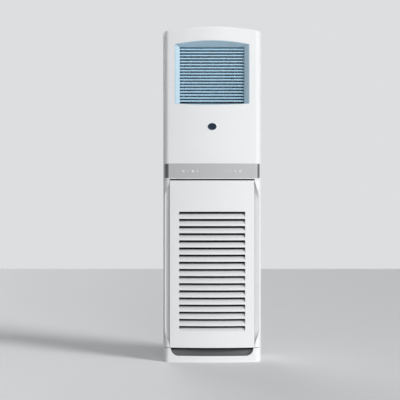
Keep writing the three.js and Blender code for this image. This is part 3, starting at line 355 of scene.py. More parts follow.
# What a look leaves unsaid. Rough is a middle and a spread, scales are those of the cloudy and
# the fine noise, bump is a strength and a depth, and coat is a weight and a roughness.
plainLook = {
    "drift": 0.03, "rough": (0.4, 0.03), "scales": (6.0, 800.0), "bump": (0.05, 0.0002), "stretch": (1, 1, 1),
    "metal": 0.0, "coat": (0.0, 0.03), "shine": 0.5,
}
looks = {
    "shell": {
        "colour": (0.945, 0.95, 0.952), "drift": 0.012, "rough": (0.3, 0.03), "scales": (3.0, 700.0),
        "bump": (0.06, 0.0002), "coat": (0.25, 0.12),
    },
    "casing": {
        "colour": (0.905, 0.91, 0.913), "drift": 0.015, "rough": (0.42, 0.04), "scales": (2.5, 900.0),
        "bump": (0.14, 0.0003),
    },
    # the intake panel's white plastic made darker for the blades, as painted shade for the shadow deep in the
    # slots
    "louvre": {
        "colour": (0.855, 0.86, 0.865), "drift": 0.012, "rough": (0.45, 0.04), "scales": (4.0, 700.0),
        "bump": (0.06, 0.0002),
    },
    "silver": {
        "colour": (0.74, 0.745, 0.75), "rough": (0.34, 0.05), "scales": (5.0, 1400.0),
        "stretch": (0.08, 1, 1), "metal": 0.2, "coat": (0.2, 0.2),
    },
    # dark glossy end caps, partly painted shade: their darkness stands in for the band's corners turning away
    # from the light
    "bandEnd": {
        "colour": (0.34, 0.345, 0.355), "drift": 0.04, "rough": (0.22, 0.04), "bump": (0.04, 0.0002),
        "coat": (0.5, 0.08),
    },
    "markInk": {"colour": (0.97, 0.98, 0.99), "drift": 0.01, "scales": (30.0, 900.0), "bump": (0.03, 0.0001)},
    "dimInk": {"colour": (0.8, 0.81, 0.815), "drift": 0.01, "scales": (30.0, 900.0), "bump": (0.03, 0.0001)},
    # the bezel's pale blue is partly painted light: it stands in for the blue glow on the outlet
    "bezel": {
        "colour": (0.735, 0.835, 0.89), "rough": (0.36, 0.04), "scales": (6.0, 700.0), "bump": (0.06, 0.0002),
    },
    # the vanes' pale cool blue is partly their own guessed colour and partly painted light for the outlet's
    # blue glow, made paler against the shade they sit in
    "vane": {
        "colour": (0.79, 0.92, 0.99), "rough": (0.38, 0.05), "scales": (8.0, 800.0), "stretch": (0.3, 1, 1),
    },
    "badge": {
        "colour": (0.04, 0.135, 0.22), "drift": 0.25, "rough": (0.32, 0.04), "scales": (40.0, 900.0),
        "bump": (0.02, 0.0001), "shine": 0.3,
    },
    "badgeRim": {
        "colour": (0.83, 0.86, 0.89), "rough": (0.2, 0.03), "scales": (40.0, 900.0), "bump": (0.02, 0.0001),
        "metal": 0.7,
    },
    # the duct and deflectors are made pale and blue as painted light, so the shaded inside behind the vanes
    # reads bright and blue like the glowing outlet
    "duct": {
        "colour": (0.85, 0.93, 0.965), "rough": (0.7, 0.08), "scales": (8.0, 500.0), "bump": (0.2, 0.0004),
    },
    "darkPlastic": {
        "colour": (0.16, 0.165, 0.17), "drift": 0.1, "rough": (0.55, 0.08), "scales": (10.0, 600.0),
        "bump": (0.12, 0.0003),
    },
    # near-black, used only for the strip that paints the shadow at the top of the finger recess
    "foam": {
        "colour": (0.07, 0.07, 0.075), "drift": 0.15, "rough": (0.9, 0.04), "scales": (20.0, 400.0),
        "bump": (0.3, 0.0005),
    },
    "filterFrame": {
        "colour": (0.2, 0.22, 0.24), "drift": 0.08, "rough": (0.6, 0.06), "scales": (9.0, 700.0),
        "bump": (0.1, 0.0003),
    },
    "zinc": {
        "colour": (0.7, 0.715, 0.72), "drift": 0.1, "rough": (0.42, 0.1), "scales": (28.0, 300.0),
        "bump": (0.08, 0.0002), "metal": 0.85,
    },
    "housing": {
        "colour": (0.83, 0.865, 0.89), "drift": 0.05, "rough": (0.5, 0.08), "scales": (10.0, 400.0),
        "bump": (0.1, 0.0003), "metal": 0.1,
    },
    "basePaint": {
        "colour": (0.43, 0.435, 0.44), "drift": 0.06, "rough": (0.55, 0.06), "bump": (0.12, 0.0003),
    },
    "copper": {
        "colour": (0.8, 0.49, 0.33), "drift": 0.12, "rough": (0.3, 0.1), "scales": (20.0, 500.0),
        "metal": 1.0,
    },
    "brass": {
        "colour": (0.84, 0.69, 0.42), "drift": 0.08, "rough": (0.28, 0.08), "scales": (40.0, 700.0),
        "metal": 1.0,
    },
    "fins": {
        "colour": (0.82, 0.835, 0.845), "drift": 0.05, "rough": (0.4, 0.08), "scales": (14.0, 900.0),
        "bump": (0.25, 0.0006), "stretch": (1, 1, 0.02), "metal": 0.9,
    },
    "board": {
        "colour": (0.1, 0.36, 0.24), "drift": 0.12, "rough": (0.45, 0.06), "scales": (60.0, 900.0),
        "bump": (0.1, 0.0003),
    },
    "hose": {
        "colour": (0.86, 0.86, 0.84), "rough": (0.5, 0.06), "scales": (12.0, 600.0), "bump": (0.1, 0.0003),
    },
    "motor": {
        "colour": (0.14, 0.14, 0.145), "drift": 0.08, "rough": (0.4, 0.06), "scales": (12.0, 700.0),
        "bump": (0.12, 0.0003), "metal": 0.3,
    },
    "steel": {
        "colour": (0.74, 0.745, 0.75), "drift": 0.05, "rough": (0.26, 0.06), "scales": (30.0, 1200.0),
        "bump": (0.05, 0.0001), "metal": 1.0,
    },
    "terminal": {
        "colour": (0.88, 0.87, 0.82), "rough": (0.5, 0.05), "scales": (20.0, 600.0), "bump": (0.08, 0.0002),
    },
}
material = {name: finish(name, look) for name, look in looks.items()}
print("materials made")

casing = {"hair": 0.00004, "sheetSoft": 0.0011, "coverWall": 0.003, "coverSoft": 0.0032}
screw = {
    "radius": 0.0042, "proud": 0.0012, "sunk": 0.0004, "taper": 0.82, "sides": 20,
    "cross": (1.1, 0.22, 0.0003), "crossProud": 0.00005,  # length and width by radius, and depth
}


def makeScrew(bm, place, outward):  # a pan-head screw with a crossed slot
    place = Vector(place)
    outward = Vector(outward)
    radius = screw["radius"]
    proud = screw["proud"]
    head = barrelAt(
        bm, place - outward * screw["sunk"], place + outward * proud, radius, screw["sides"],
        tip=radius * screw["taper"],
    )
    top = [vert for vert in head if (vert.co - place).dot(outward) > proud * 0.5]
    rim = dict.fromkeys(edge for vert in top for edge in vert.link_edges)
    ops.bevel(bm, geom=list(rim), offset=proud * 0.3, segments=2, profile=0.5, affect="EDGES")
    spot = Matrix.Translation(place + outward * (proud + screw["crossProud"])) @ turnTo(outward)
    length, width, depth = screw["cross"]
    size = Matrix.Diagonal((radius * length, radius * width, depth, 1))
    for angle in (0, math.pi / 2):
        ops.create_cube(bm, size=1, matrix=spot @ Matrix.Rotation(angle, 4, "Z") @ size)


def makeSidePanel(name, side):
    low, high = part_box(name)
    outer = max(abs(low.x), abs(high.x)) * side
    inner = outer - side * sheetWall
    lip = min(abs(low.x), abs(high.x)) * side
    points = [
        (outer, low.y), (outer, high.y), (lip, high.y), (lip, high.y - sheetWall),
        (inner, high.y - sheetWall), (inner, low.y + sheetWall), (lip, low.y + sheetWall), (lip, low.y),
    ]
    bm = bmesh.new()
    flatOutline(bm, [(x, y, low.z) for x, y in points])
    raised(bm, (0, 0, high.z - low.z))
    panelName = "sidePanelRight" if side > 0 else "sidePanelLeft"
    piece = softened(pieceFrom(bm, panelName), casing["sheetSoft"])
    bodyPiece(piece, name, "casing", name, slot="casing")


makeSidePanel("side_panel_left", -1)
makeSidePanel("side_panel_right", 1)


def makeTopCover():
    low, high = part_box("top_cover")
    outer = crownBlock("topCover", casing["hair"], low.z, low.y, high.y)
    wall = casing["coverWall"]
    hollow = crownBlock("hollow", wall, low.z - 0.002, low.y + wall, high.y - wall)
    softened(cutAway(outer, hollow), casing["coverSoft"], 4)
    bodyPiece(outer, "top_cover", "shell", "top_cover", slot="shell")


makeTopCover()

back = {
    "edgeSoft": 0.0006, "fieldCount": 3, "fieldLow": 0.24, "fieldHigh": 1.53, "fieldGap": 0.045,
    "fieldMargin": 0.055, "fieldProud": 0.0019, "fieldSunk": 0.0001, "fieldSoft": 0.0018,
    "holeZ": 0.13, "holeInset": 0.057, "holeHalf": 0.039, "trimLap": 0.003, "trimWidth": 0.0075,
    "trimProud": 0.0021, "trimCorner": 0.008, "trimSoft": 0.0008,
    "screwEdge": 0.012, "screwEnd": 0.03, "screwRows": 7,
    "topScrews": (-0.12, 0.0, 0.12), "topScrewDrop": 0.014, "sharpAngle": 42,
}


def makeBackPanel():
    low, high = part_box("back_panel")
    holeX = high.x - back["holeInset"]
    holeZ = back["holeZ"]
    half = back["holeHalf"]
    hair = Vector((casing["hair"], 0, 0))  # keeps the softened edges inside the frame's box
    plate = softened(blockPiece("backPanel", low + hair, high - hair), back["edgeSoft"], 2)
    gap = back["fieldGap"]
    margin = back["fieldMargin"]
    step = (back["fieldHigh"] - back["fieldLow"] + gap) / back["fieldCount"]
    for i in range(back["fieldCount"]):
        base = back["fieldLow"] + i * step
        field = blockPiece(
            "field", (low.x + margin, low.y + back["fieldSunk"], base),
            (high.x - margin, high.y + back["fieldProud"], base + step - gap),
        )
        joined(plate, softened(field, back["fieldSoft"]))
    cutAway(plate, blockPiece(
        "hole", (holeX - half, low.y - past, holeZ - half), (holeX + half, high.y + past, holeZ + half),
    ))
    plate.data.set_sharp_from_angle(angle=math.radians(back["sharpAngle"]))
    bodyPiece(plate, "back_panel", "casing", "back_panel", slot="casing")


def makeHoleEdging():  # a flat moulded ring round the pipe hole, over its edge
    low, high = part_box("back_panel")
    holeX = high.x - back["holeInset"]
    holeZ = back["holeZ"]
    reach = back["holeHalf"] + back["trimLap"]
    bm = bmesh.new()
    corners = rectangle(holeX, holeZ - reach, 2 * reach, 2 * reach)
    roundedPlate(bm, corners, range(4), back["trimCorner"], 5, high.y)
    ring = ops.inset_region(
        bm, faces=bm.faces[:], thickness=back["trimWidth"], depth=0, use_boundary=True,
    )["faces"]
    ops.delete(bm, geom=[face for face in bm.faces if face not in ring], context="FACES")
    raised(bm, (0, back["trimProud"], 0))
    edging = softened(pieceFrom(bm, "pipeHoleEdging"), back["trimSoft"])
    bodyPiece(edging, "back_panel", "darkPlastic", slot="dark_plastic")


def makeBackScrews():  # a row down each side and a few along the top
    low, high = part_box("back_panel")
    edge = back["screwEdge"]
    end = back["screwEnd"]
    rows = back["screwRows"]
    bm = bmesh.new()
    for i in range(rows):
        z = low.z + end + i * (high.z - low.z - 2 * end) / (rows - 1)
        for x in (low.x + edge, high.x - edge):
            makeScrew(bm, (x, high.y, z), (0, 1, 0))
    for x in back["topScrews"]:
        makeScrew(bm, (x, high.y, high.z - back["topScrewDrop"]), (0, 1, 0))
    bodyPiece(pieceFrom(bm, "backScrews"), "back_panel", "steel", slot="shaft")


makeBackPanel()
makeHoleEdging()
makeBackScrews()

bracket = {"soft": 0.0006, "slotHalf": 0.012, "slotRadius": 0.0035, "slotX": 0.055}


def makeWallBracket():
    low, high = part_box("wall_bracket")
    plate = blockPiece("wallBracket", low, high)
    middle = (low.z + high.z) / 2
    half = bracket["slotHalf"]
    radius = bracket["slotRadius"]
    for x in (-bracket["slotX"], bracket["slotX"]):
        bm = bmesh.new()
        for endX in (x - half, x + half):
            barrelAt(bm, (endX, low.y - past, middle), (endX, high.y + past, middle), radius, 20)
        slotTool = pieceFrom(bm, "slotEnds")
        corner = (x - half, low.y - past, middle - radius)
        bar = blockPiece("slotMiddle", corner, (x + half, high.y + past, middle + radius))
        cutAway(plate, joined(slotTool, bar))
    piece = softened(plate, bracket["soft"], 2)
    bodyPiece(piece, "wall_bracket", "zinc", "wall_bracket", slot="zinc")


makeWallBracket()

nuts = {
    "nutGrow": 1.015, "nutLength": 0.011, "nutProud": 0.0014, "nutSoft": 0.0007,
    "bore": {"gas_pipe": 0.0082, "liquid_pipe": 0.0052}, "boreSides": 32,
    "plugSize": 0.97, "plugProud": 0.0003,
}


def makeFlareNuts():  # brass nuts over the ends of the two pipes, each with a dark plug in it
    plugs = bmesh.new()
    sides = nuts["boreSides"]
    for name, bore in nuts["bore"].items():
        points = [nodes[name].matrix_world @ vert.co for vert in nodes[name].data.vertices]
        end = max(point.y for point in points)
        rim = {(round(point.x, 6), round(point.z, 6)) for point in points if point.y > end - 1e-5}
        middle = Vector((sum(x for x, z in rim) / len(rim), 0, sum(z for x, z in rim) / len(rim)))
        corners = [Vector((x, 0, z)) - middle for x, z in rim]
        corners = [corner for corner in corners if corner.length > bore]
        corners.sort(key=lambda corner: math.atan2(corner.z, corner.x))

        def along(y):  # the point on the pipe's axis at this y
            return middle + Vector((0, y, 0))

        start = end + nuts["nutProud"] - nuts["nutLength"]
        bm = bmesh.new()
        flatOutline(bm, [along(start) + corner * nuts["nutGrow"] for corner in corners])
        raised(bm, (0, nuts["nutLength"], 0))
        nut = softened(pieceFrom(bm, "flareNut" + name.split("_")[0].title()), nuts["nutSoft"], 2)
        cutter = bmesh.new()
        barrelAt(cutter, along(start - past), along(end + past), bore, sides)
        cutAway(nut, pieceFrom(cutter, "boreTool"))
        bodyPiece(nut, name, "brass", slot="copper")
        barrelAt(plugs, along(end - lap), along(end + nuts["plugProud"]), bore * nuts["plugSize"], sides)
    plug = pieceFrom(plugs, "pipePlugs")
    bodyPiece(plug, "gas_pipe", "darkPlastic", slot="dark_plastic")


hose = {"radius": 0.009, "wall": 0.0015, "sides": 28, "steps": 7, "upright": 0.064, "exitDrop": 0.024}


def alongPath(points, steps):  # a smooth line through the points
    ends = [points[0] * 2 - points[1], *points, points[-1] * 2 - points[-2]]
    for a, b, c, d in zip(ends, ends[1:], ends[2:], ends[3:]):
        for i in range(steps):
            t = i / steps
            square = (2 * a - 5 * b + 4 * c - d) * t ** 2
            cube = (3 * b - 3 * c + d - a) * t ** 3
            yield 0.5 * (2 * b + (c - a) * t + square + cube)
    yield points[-1]


def sweptTube(bm, line, radius, sides):
    last = None
    for i, point in enumerate(line):
        heading = line[min(i + 1, len(line) - 1)] - line[max(i - 1, 0)]
        place = Matrix.Translation(point) @ heading.to_track_quat("Z", "X").to_matrix().to_4x4()
        if last is None:
            ring = ops.create_circle(bm, segments=sides, radius=radius, matrix=place)["verts"]
            edges = bm.edges[:]
        else:
            made = ops.extrude_edge_only(bm, edges=edges)["geom"]
            ring = set(vertsIn(made))
            edges = [e for e in made if isinstance(e, bmesh.types.BMEdge) and ring.issuperset(e.verts)]
            ops.transform(bm, matrix=place @ last.inverted(), verts=list(ring))
        last = place


def makeDrainHose():  # a hollow hose that bends back and out through the pipe hole
    low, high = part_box("drain_hose")
    radius = hose["radius"]
    x = (low.x + high.x) / 2
    y = low.y + radius
    holeZ = back["holeZ"]
    exitZ = holeZ - hose["exitDrop"]
    points = [Vector(point) for point in (
        (x, y, high.z), (x, y, high.z - hose["upright"]), (x, y, holeZ + radius * 10),
        (x, y + 0.004, holeZ + 0.01), (x, high.y - 0.018, exitZ + 0.002), (x, high.y, exitZ),
    )]
    bm = bmesh.new()
    sweptTube(bm, list(alongPath(points, hose["steps"])), radius, hose["sides"])
    tube = pieceFrom(bm, "drainHose")
    thick = tube.modifiers.new("wall", "SOLIDIFY")
    thick.thickness = hose["wall"]
    thick.offset = -1
    settled(tube)
    bodyPiece(tube, "drain_hose", "hose", "drain_hose", slot="drain")


makeFlareNuts()
makeDrainHose()
print("casing made")

window = {"half": 0.194, "lowEdge": 1.344, "dip": 0.007, "highEdge": 1.654, "rise": 0.018, "arcSteps": 32}


def archedOutline(bm, shape, y):  # upright sides and gently arched ends, in the X-Z plane
    half = shape["half"]

    def arc(start, sag, upward):
        radius = arcRadius(half, sag)
        centre = (0, y, start.co.z - upward * (radius - sag))
        angle = -2 * math.asin(half / radius)
        return spunTip(bm, start, centre, (0, 1, 0), angle, window["arcSteps"])

    first = bm.verts.new((-half, y, shape["lowEdge"]))
    lowRight = arc(first, shape["dip"], -1)
    highRight = ops.extrude_vert_indiv(bm, verts=[lowRight])["verts"][0]
    highRight.co.z = shape["highEdge"]
    highLeft = arc(highRight, shape["rise"], 1)
    bm.edges.new((highLeft, first))
    ops.edgeloop_fill(bm, edges=list(bm.edges))


def windowBlock(name, grow, startY, endY):  # the window's outline, grown on all sides
    bm = bmesh.new()
    grown = {
        **window, "half": window["half"] + grow,
        "lowEdge": window["lowEdge"] - grow, "highEdge": window["highEdge"] + grow,
    }
    archedOutline(bm, grown, startY)
    raised(bm, (0, endY - startY, 0))
    return pieceFrom(bm, name)


panel = {"wall": 0.003, "soft": 0.0016, "rim": coverHigh.x - upperHigh.x}


def makeUpperPanel():
    low, high = upperLow, upperHigh

    def shellOf(name, inset, base, foot):
        column = frontColumn(name, inset, base, foot, high.z + 0.02)
        crownTool = crownBlock("crownTool", panel["rim"] + inset, low.z - 0.05, low.y - past, behind)
        return keepWithin(column, crownTool)

    outer = shellOf("upperFrontPanel", 0, -high.y, low.z)
    inner = shellOf("inner", panel["wall"], -high.y - past, low.z - past)
    cutAway(outer, inner, windowBlock("windowTool", 0, low.y - past, high.y + past))
    piece = softened(outer, panel["soft"])
    bodyPiece(piece, "upper_front_panel", "shell", "upper_front_panel", slot="shell")


makeUpperPanel()

bezel = {
    "mouth": {"half": 0.2138, "lowEdge": 1.345, "dip": 0.006, "highEdge": 1.6615, "rise": 0.009},
    "throatHalf": 0.1685, "throatLow": 1.345, "throatHigh": 1.642, "frontInset": 0.0006, "toolBase": 0.1,
    "flange": 0.008, "flangeWall": 0.001, "soft": 0.0007,
}


def makeBezel():  # its opening narrows from a wide arched mouth to a square throat
    low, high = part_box("outlet_bezel")
    throatY = high.y - bezel["flangeWall"]
    piece = windowBlock("outletBezel", -fitGap, low.y - 0.002, throatY)
    frontTool = frontColumn("frontTool", bezel["frontInset"], bezel["toolBase"], low.z - 0.05, high.z + 0.05)
    keepWithin(piece, frontTool)
    joined(piece, windowBlock("rearFlange", bezel["flange"], throatY - lap, high.y))
    mouth = bezel["mouth"]
    throat = bezel["throatHalf"]
    middle = (bezel["throatLow"] + bezel["throatHigh"]) / 2
    bm = bmesh.new()
    archedOutline(bm, mouth, low.y - 0.0005)
    for vert in raised(bm, (0, throatY - low.y + 0.0005, 0)):
        vert.co.x *= throat / mouth["half"]
        vert.co.z = bezel["throatLow"] if vert.co.z < middle else bezel["throatHigh"]
    corner = (-throat, throatY - 0.0005, bezel["throatLow"])
    throatTool = blockPiece("throatTool", corner, (throat, high.y + past, bezel["throatHigh"]))
    cutAway(piece, pieceFrom(bm, "mouthTool", 1), throatTool)
    softened(piece, bezel["soft"], 2)
    bodyPiece(piece, "outlet_bezel", "bezel", "outlet_bezel", slot="vane")


makeBezel()

badge = {"rimWidth": 0.0009, "rimSunk": 0.0002, "rimSoft": 0.0006, "capSoft": 0.0008, "segments": 48}


def makeBadge():  # a plain oval cap in a thin rim
    low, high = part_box("badge_cap")
    middle = (low + high) / 2
    halfX = (high.x - low.x) / 2
    halfZ = (high.z - low.z) / 2

    def oval(name, inset, sunk, soft):
        bm = bmesh.new()
        place = Matrix.Translation((middle.x, low.y + sunk, middle.z)) @ Matrix.Rotation(math.pi / 2, 4, "X")
        sized = place @ Matrix.Diagonal((halfX - inset, halfZ - inset, 1, 1))
        ops.create_circle(bm, cap_ends=True, segments=badge["segments"], radius=1, matrix=sized)
        raised(bm, (0, high.y - low.y - sunk, 0))
        return softened(pieceFrom(bm, name), soft)

    rim = oval("badgeRim", 0, badge["rimSunk"], badge["rimSoft"])
    bodyPiece(rim, "badge_cap", "badgeRim", "badge_cap", slot="badge")
    cap = oval("badgeCap", badge["rimWidth"], 0, badge["capSoft"])
    bodyPiece(cap, "badge_cap", "badge", slot="badge")


makeBadge()
print("upper front made")

band = {
    "wall": 0.003, "soft": 0.001, "shelfRise": 0.0155,
    "hingeY": -0.138, "hingeZ": 0.9365, "lugX": 0.136, "lugWidth": 0.006, "lugRadius": 0.0055,
    "boreRadius": 0.0033, "postX": 0.141, "postWidth": 0.006,
    # where the dark ends start: the left one further in than the right, as painted shade, since the light
    # comes from the right
    "endFrom": {-1: 0.2265, 1: 0.2365}, "endRise": 0.0065, "endDrop": 0.0008,
    "endProud": 0.0004, "endDepth": 0.0009, "endSoft": 0.0003,
    "lineFrom": 0.0008, "lineTo": 0.0045, "lineProud": 0.0006, "lineDepth": 0.0014, "lineSoft": 0.0004,
}
marks = {  # generic key marks: x, brightness and shape
    "z": 0.993, "half": 0.006, "line": 0.0019, "proud": 0.00012, "ringSteps": 20,
    "keys": [
        (-0.149, "markInk", "ring"), (-0.1255, "dimInk", "fan"), (-0.0995, "markInk", "fan"),
        (-0.076, "markInk", "up"), (0.061, "dimInk", "down"), (0.079, "dimInk", "up"),
        (0.097, "dimInk", "ring"), (0.121, "markInk", "down"), (0.147, "markInk", "power"),
    ],
}


def makeBand():
    low, high = bandLow, bandHigh
    hingeY = band["hingeY"]
    hingeZ = band["hingeZ"]
    foot = hingeZ + band["shelfRise"]
    wall = band["wall"]
    outer = frontColumn("controlBand", 0, -high.y, foot, high.z)
    cutAway(outer, frontColumn("inner", wall, -high.y - past, foot + wall, high.z + past))
    bm = bmesh.new()
    for side in (-1, 1):
        near, far = sorted((side * band["lugX"], side * (band["lugX"] + band["lugWidth"])))
        barrelAt(bm, (near, hingeY, hingeZ), (far, hingeY, hingeZ), band["lugRadius"], 32)
        cubeAt(bm, (near, hingeY - 0.0015, hingeZ), (far, hingeY + 0.0055, foot + lap))
    joined(outer, pieceFrom(bm, "lugs"))
    for side in (-1, 1):
        bore = bmesh.new()
        ends = [(side * (band["lugX"] + x), hingeY, hingeZ) for x in (-past, 2 * past)]
        barrelAt(bore, *ends, band["boreRadius"])
        cutAway(outer, pieceFrom(bore, "bore"))
        x = side * band["postX"]
        half = band["postWidth"] / 2
        corner = (x - half, frontFace(x) + lap, foot + 0.002)
        joined(outer, blockPiece("post", corner, (x + half, boardLow.y - fitGap, boardHigh.z)))
    piece = softened(outer, band["soft"])
    bodyPiece(piece, "control_band", "silver", "control_band", slot="silver")


def makeBandTrim():  # dark ends that wrap the corners and a white line along the foot; the dark ends are partly painted shade of the corners turning from the light, so the left one reaches further in than the right
    foot = band["hingeZ"] + band["shelfRise"]
    for side, name in ((-1, "bandEndLeft"), (1, "bandEndRight")):
        end = slabAcross(
            name, side * band["endFrom"][side], side * beyond, foot + band["endRise"],
            bandHigh.z - band["endDrop"], band["endProud"], band["endDepth"],
        )
        softened(end, band["endSoft"], 2)
        bodyPiece(end, "control_band", "bandEnd", slot="silver")
    line = slabAcross(
        "bandFootLine", -beyond, beyond, foot + band["lineFrom"], foot + band["lineTo"],
        band["lineProud"], band["lineDepth"],
    )
    bodyPiece(softened(line, band["lineSoft"], 2), "control_band", "shell", slot="shell")


def touchMark(bm, x, shape):
    half = marks["half"]
    line = marks["line"]
    slope = math.atan2(frontFace(x + lap) - frontFace(x - lap), 2 * lap)
    lying = Matrix.Rotation(slope, 4, "Z") @ Matrix.Rotation(math.pi / 2, 4, "X")
    place = Matrix.Translation((x, frontFace(x), marks["z"])) @ lying

    def stroke(cx, cz, width, height, turn=0.0):
        size = Matrix.Diagonal((width, height, marks["proud"] * 2, 1))
        spot = place @ Matrix.Translation((cx, cz, 0)) @ Matrix.Rotation(turn, 4, "Z")
        ops.create_cube(bm, size=1, matrix=spot @ size)

    def ring(radius, start=0.0, sweep=2 * math.pi):
        steps = marks["ringSteps"]
        for i in range(steps):
            angle = start + sweep * (i + 0.5) / steps
            length = radius * sweep / steps * 1.15
            stroke(radius * math.cos(angle), radius * math.sin(angle), line, length, angle)

    if shape == "ring":
        ring(half * 0.85)
        stroke(0, 0, line, half)
    elif shape == "power":
        ring(half * 0.85, math.radians(120), math.radians(300))
        stroke(0, half * 0.6, line, half * 0.9)
    elif shape == "fan":
        for turn in (0, 2 * math.pi / 3, 4 * math.pi / 3):
            stroke(half * 0.5 * math.cos(turn), half * 0.5 * math.sin(turn), half, line * 1.5, turn)
        ring(half * 0.95)
    else:
        lift = 1 if shape == "up" else -1
        for side in (-1, 1):
            stroke(side * half * 0.32, lift * half * 0.2, half * 0.95, line, -side * lift * math.pi / 4)
        stroke(0, -lift * half * 0.45, half * 1.5, line)


def makeTouchMarks():  # one piece for each brightness
    for ink, name in (("markInk", "brightMarks"), ("dimInk", "faintMarks")):
        bm = bmesh.new()
        for x, tone, shape in marks["keys"]:
            if tone == ink:
                touchMark(bm, x, shape)
        bodyPiece(pieceFrom(bm, name, 80), "control_band", ink, slot="silver")


makeBand()
makeBandTrim()
makeTouchMarks()
print("control band made")

intake = {
    "wall": 0.003, "soft": 0.0012, "slots": 17, "pitch": 0.0371, "firstZ": 0.161,
    "slotHeight": 0.0275, "slotHalf": 0.1715, "slotCorner": 0.0016,
    "bladeWall": 0.0024, "bladeSteps": 24, "bladeSoft": 0.0005,
    "lean": 0.0185, "rise": 0.0176, "kneeLean": 0.0068, "kneeRise": 0.0102,
    "line": {"z": 0.0855, "half": 0.0007, "depth": 0.0008},
    "guideHook": 0.008, "armWidth": 0.008, "armDrop": 0.009, "pinRadius": 0.003, "fittingSoft": 0.0004,
}


def makeIntakePanel():
    low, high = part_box("intake_panel")
    wall = intake["wall"]
    rear = frontFace(high.x) + 0.012
    outer = frontColumn("intakePanel", 0, 0, low.z, high.z)
    keepWithin(outer, blockPiece(
        "sliceTool", (low.x, -beyond, low.z - past), (high.x, rear, high.z + past),
    ))
    inner = frontColumn("inner", wall, 0, low.z - past, high.z + past)
    keepWithin(inner, blockPiece(
        "sliceTool", (low.x + wall, -beyond, low.z - 2 * past), (high.x - wall, behind, high.z + 2 * past),
    ))
    cutAway(outer, inner)
    half = intake["slotHalf"]
    slots = bmesh.new()
    blades = bmesh.new()
    for i in range(intake["slots"]):
        foot = intake["firstZ"] + i * intake["pitch"]
        slot = bmesh.new()
        corners = rectangle(0, foot, 2 * half, intake["slotHeight"])
        roundedPlate(slot, corners, range(4), intake["slotCorner"], 3, low.y - past)
        raised(slot, (0, rear - low.y + 2 * past, 0))
        poured(slots, slot)
        makeBlade(blades, foot)
    cutAway(outer, pieceFrom(slots, "slots"), grooveTool(intake["line"]))
    bodyPiece(softened(outer, intake["soft"]), "intake_panel", "shell", "intake_panel", slot="shell")
    louvres = softened(pieceFrom(blades, "louvres"), intake["bladeSoft"], 2)
    # the blades take the darker copy of the white plastic, which is painted shade
    bodyPiece(louvres, "intake_panel", "louvre", slot="shell")


def makeBlade(bm, foot):  # it leans back and up, past a knee, from the front edge of a slot's lip
    half = intake["slotHalf"] + lap
    wall = intake["bladeWall"]
    lean = intake["lean"]
    rise = intake["rise"]
    kneeLean = intake["kneeLean"]
    kneeRise = intake["kneeRise"]
    outline = [  # depth behind the front and height above the slot's foot
        (0.0004, -0.0006), (kneeLean * 0.5, kneeRise * 0.56), (kneeLean, kneeRise),
        ((kneeLean + lean) / 2, kneeRise + (rise - kneeRise) * 0.6), (lean, rise),
        (lean, rise - wall), (kneeLean + 0.001, kneeRise - wall * 1.2), (0.0026, -0.0034), (0.0008, -0.0034),
    ]
    radius = arcRadius(front["half"], front["bow"])
    centre = Vector((0, radius - front["apex"], 0))
    sweep = math.asin(half / radius)
    turn = Matrix.Translation(centre) @ Matrix.Rotation(-sweep, 4, "Z") @ Matrix.Translation(-centre)
    part = bmesh.new()
    flatOutline(part, [turn @ Vector((0, depth - front["apex"], foot + z)) for depth, z in outline])
    ops.spin(
        part, geom=part.faces[:], cent=centre, axis=(0, 0, 1), angle=2 * sweep,
        steps=intake["bladeSteps"], use_duplicate=False,
    )
    poured(bm, part)


def makeIntakeFittings():  # filter guides, hinge arms and hinge pins
    low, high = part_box("air_filter")
    hingeY = band["hingeY"]
    hingeZ = band["hingeZ"]
    nearX = high.x + fitGap
    farX = nearX + intake["wall"]
    hookX = nearX - intake["guideHook"]
    frontY = high.y + fitGap
    backY = frontY + intake["bladeWall"]
    armX = band["lugX"] - fitGap
    bm = bmesh.new()

    def bar(side, xs, y, z):
        x = sorted(side * value for value in xs)
        cubeAt(bm, (x[0], y[0], z[0]), (x[1], y[1], z[1]))

    for side in (-1, 1):
        bar(side, (nearX, farX), (frontFace(nearX) + lap, backY), (low.z, high.z))
        bar(side, (hookX, farX), (frontY, backY), (low.z, high.z))
        bar(side, (armX, armX - intake["armWidth"]), (frontFace(armX) + lap, hingeY + 0.0035),
            (hingeZ - intake["armDrop"], hingeZ + 0.0032))
        ends = [(side * x, hingeY, hingeZ) for x in (armX - lap, band["lugX"] + band["lugWidth"] + lap)]
        barrelAt(bm, *ends, intake["pinRadius"])
    fittings = softened(pieceFrom(bm, "intakeFittings"), intake["fittingSoft"], 2)
    bodyPiece(fittings, "intake_panel", "shell", slot="shell")


def makeFilterShelf():  # it follows the panel's bow and carries the filter
    low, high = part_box("air_filter")
    top = low.z - fitGap
    shelf = frontColumn("filterShelf", lap, 0, top - intake["bladeWall"], top)
    half = intake["slotHalf"]
    keepWithin(shelf, blockPiece("shelfTool", (-half, -beyond, top - 2 * past), (half, high.y, top + past)))
    softened(shelf, intake["fittingSoft"], 2)
    bodyPiece(shelf, "intake_panel", "shell", slot="shell")


makeIntakePanel()
makeIntakeFittings()
makeFilterShelf()
print("intake panel made")

grip = {
    "edgeX": 0.0252, "edgeInset": 0.0008, "run": 0.015, "overrun": 0.04,
    "innerLow": 0.0925, "innerHigh": 0.9395, "outerLow": 0.15, "outerHigh": 0.871,
    "curve": 0.024, "curveSteps": 10, "soft": 0.0012, "depth": 0.022, "fall": 0.24,
    "pocketLow": 0.091, "pocketHigh": 0.9345, "pocketWall": 0.003, "floorWall": 0.006,
}


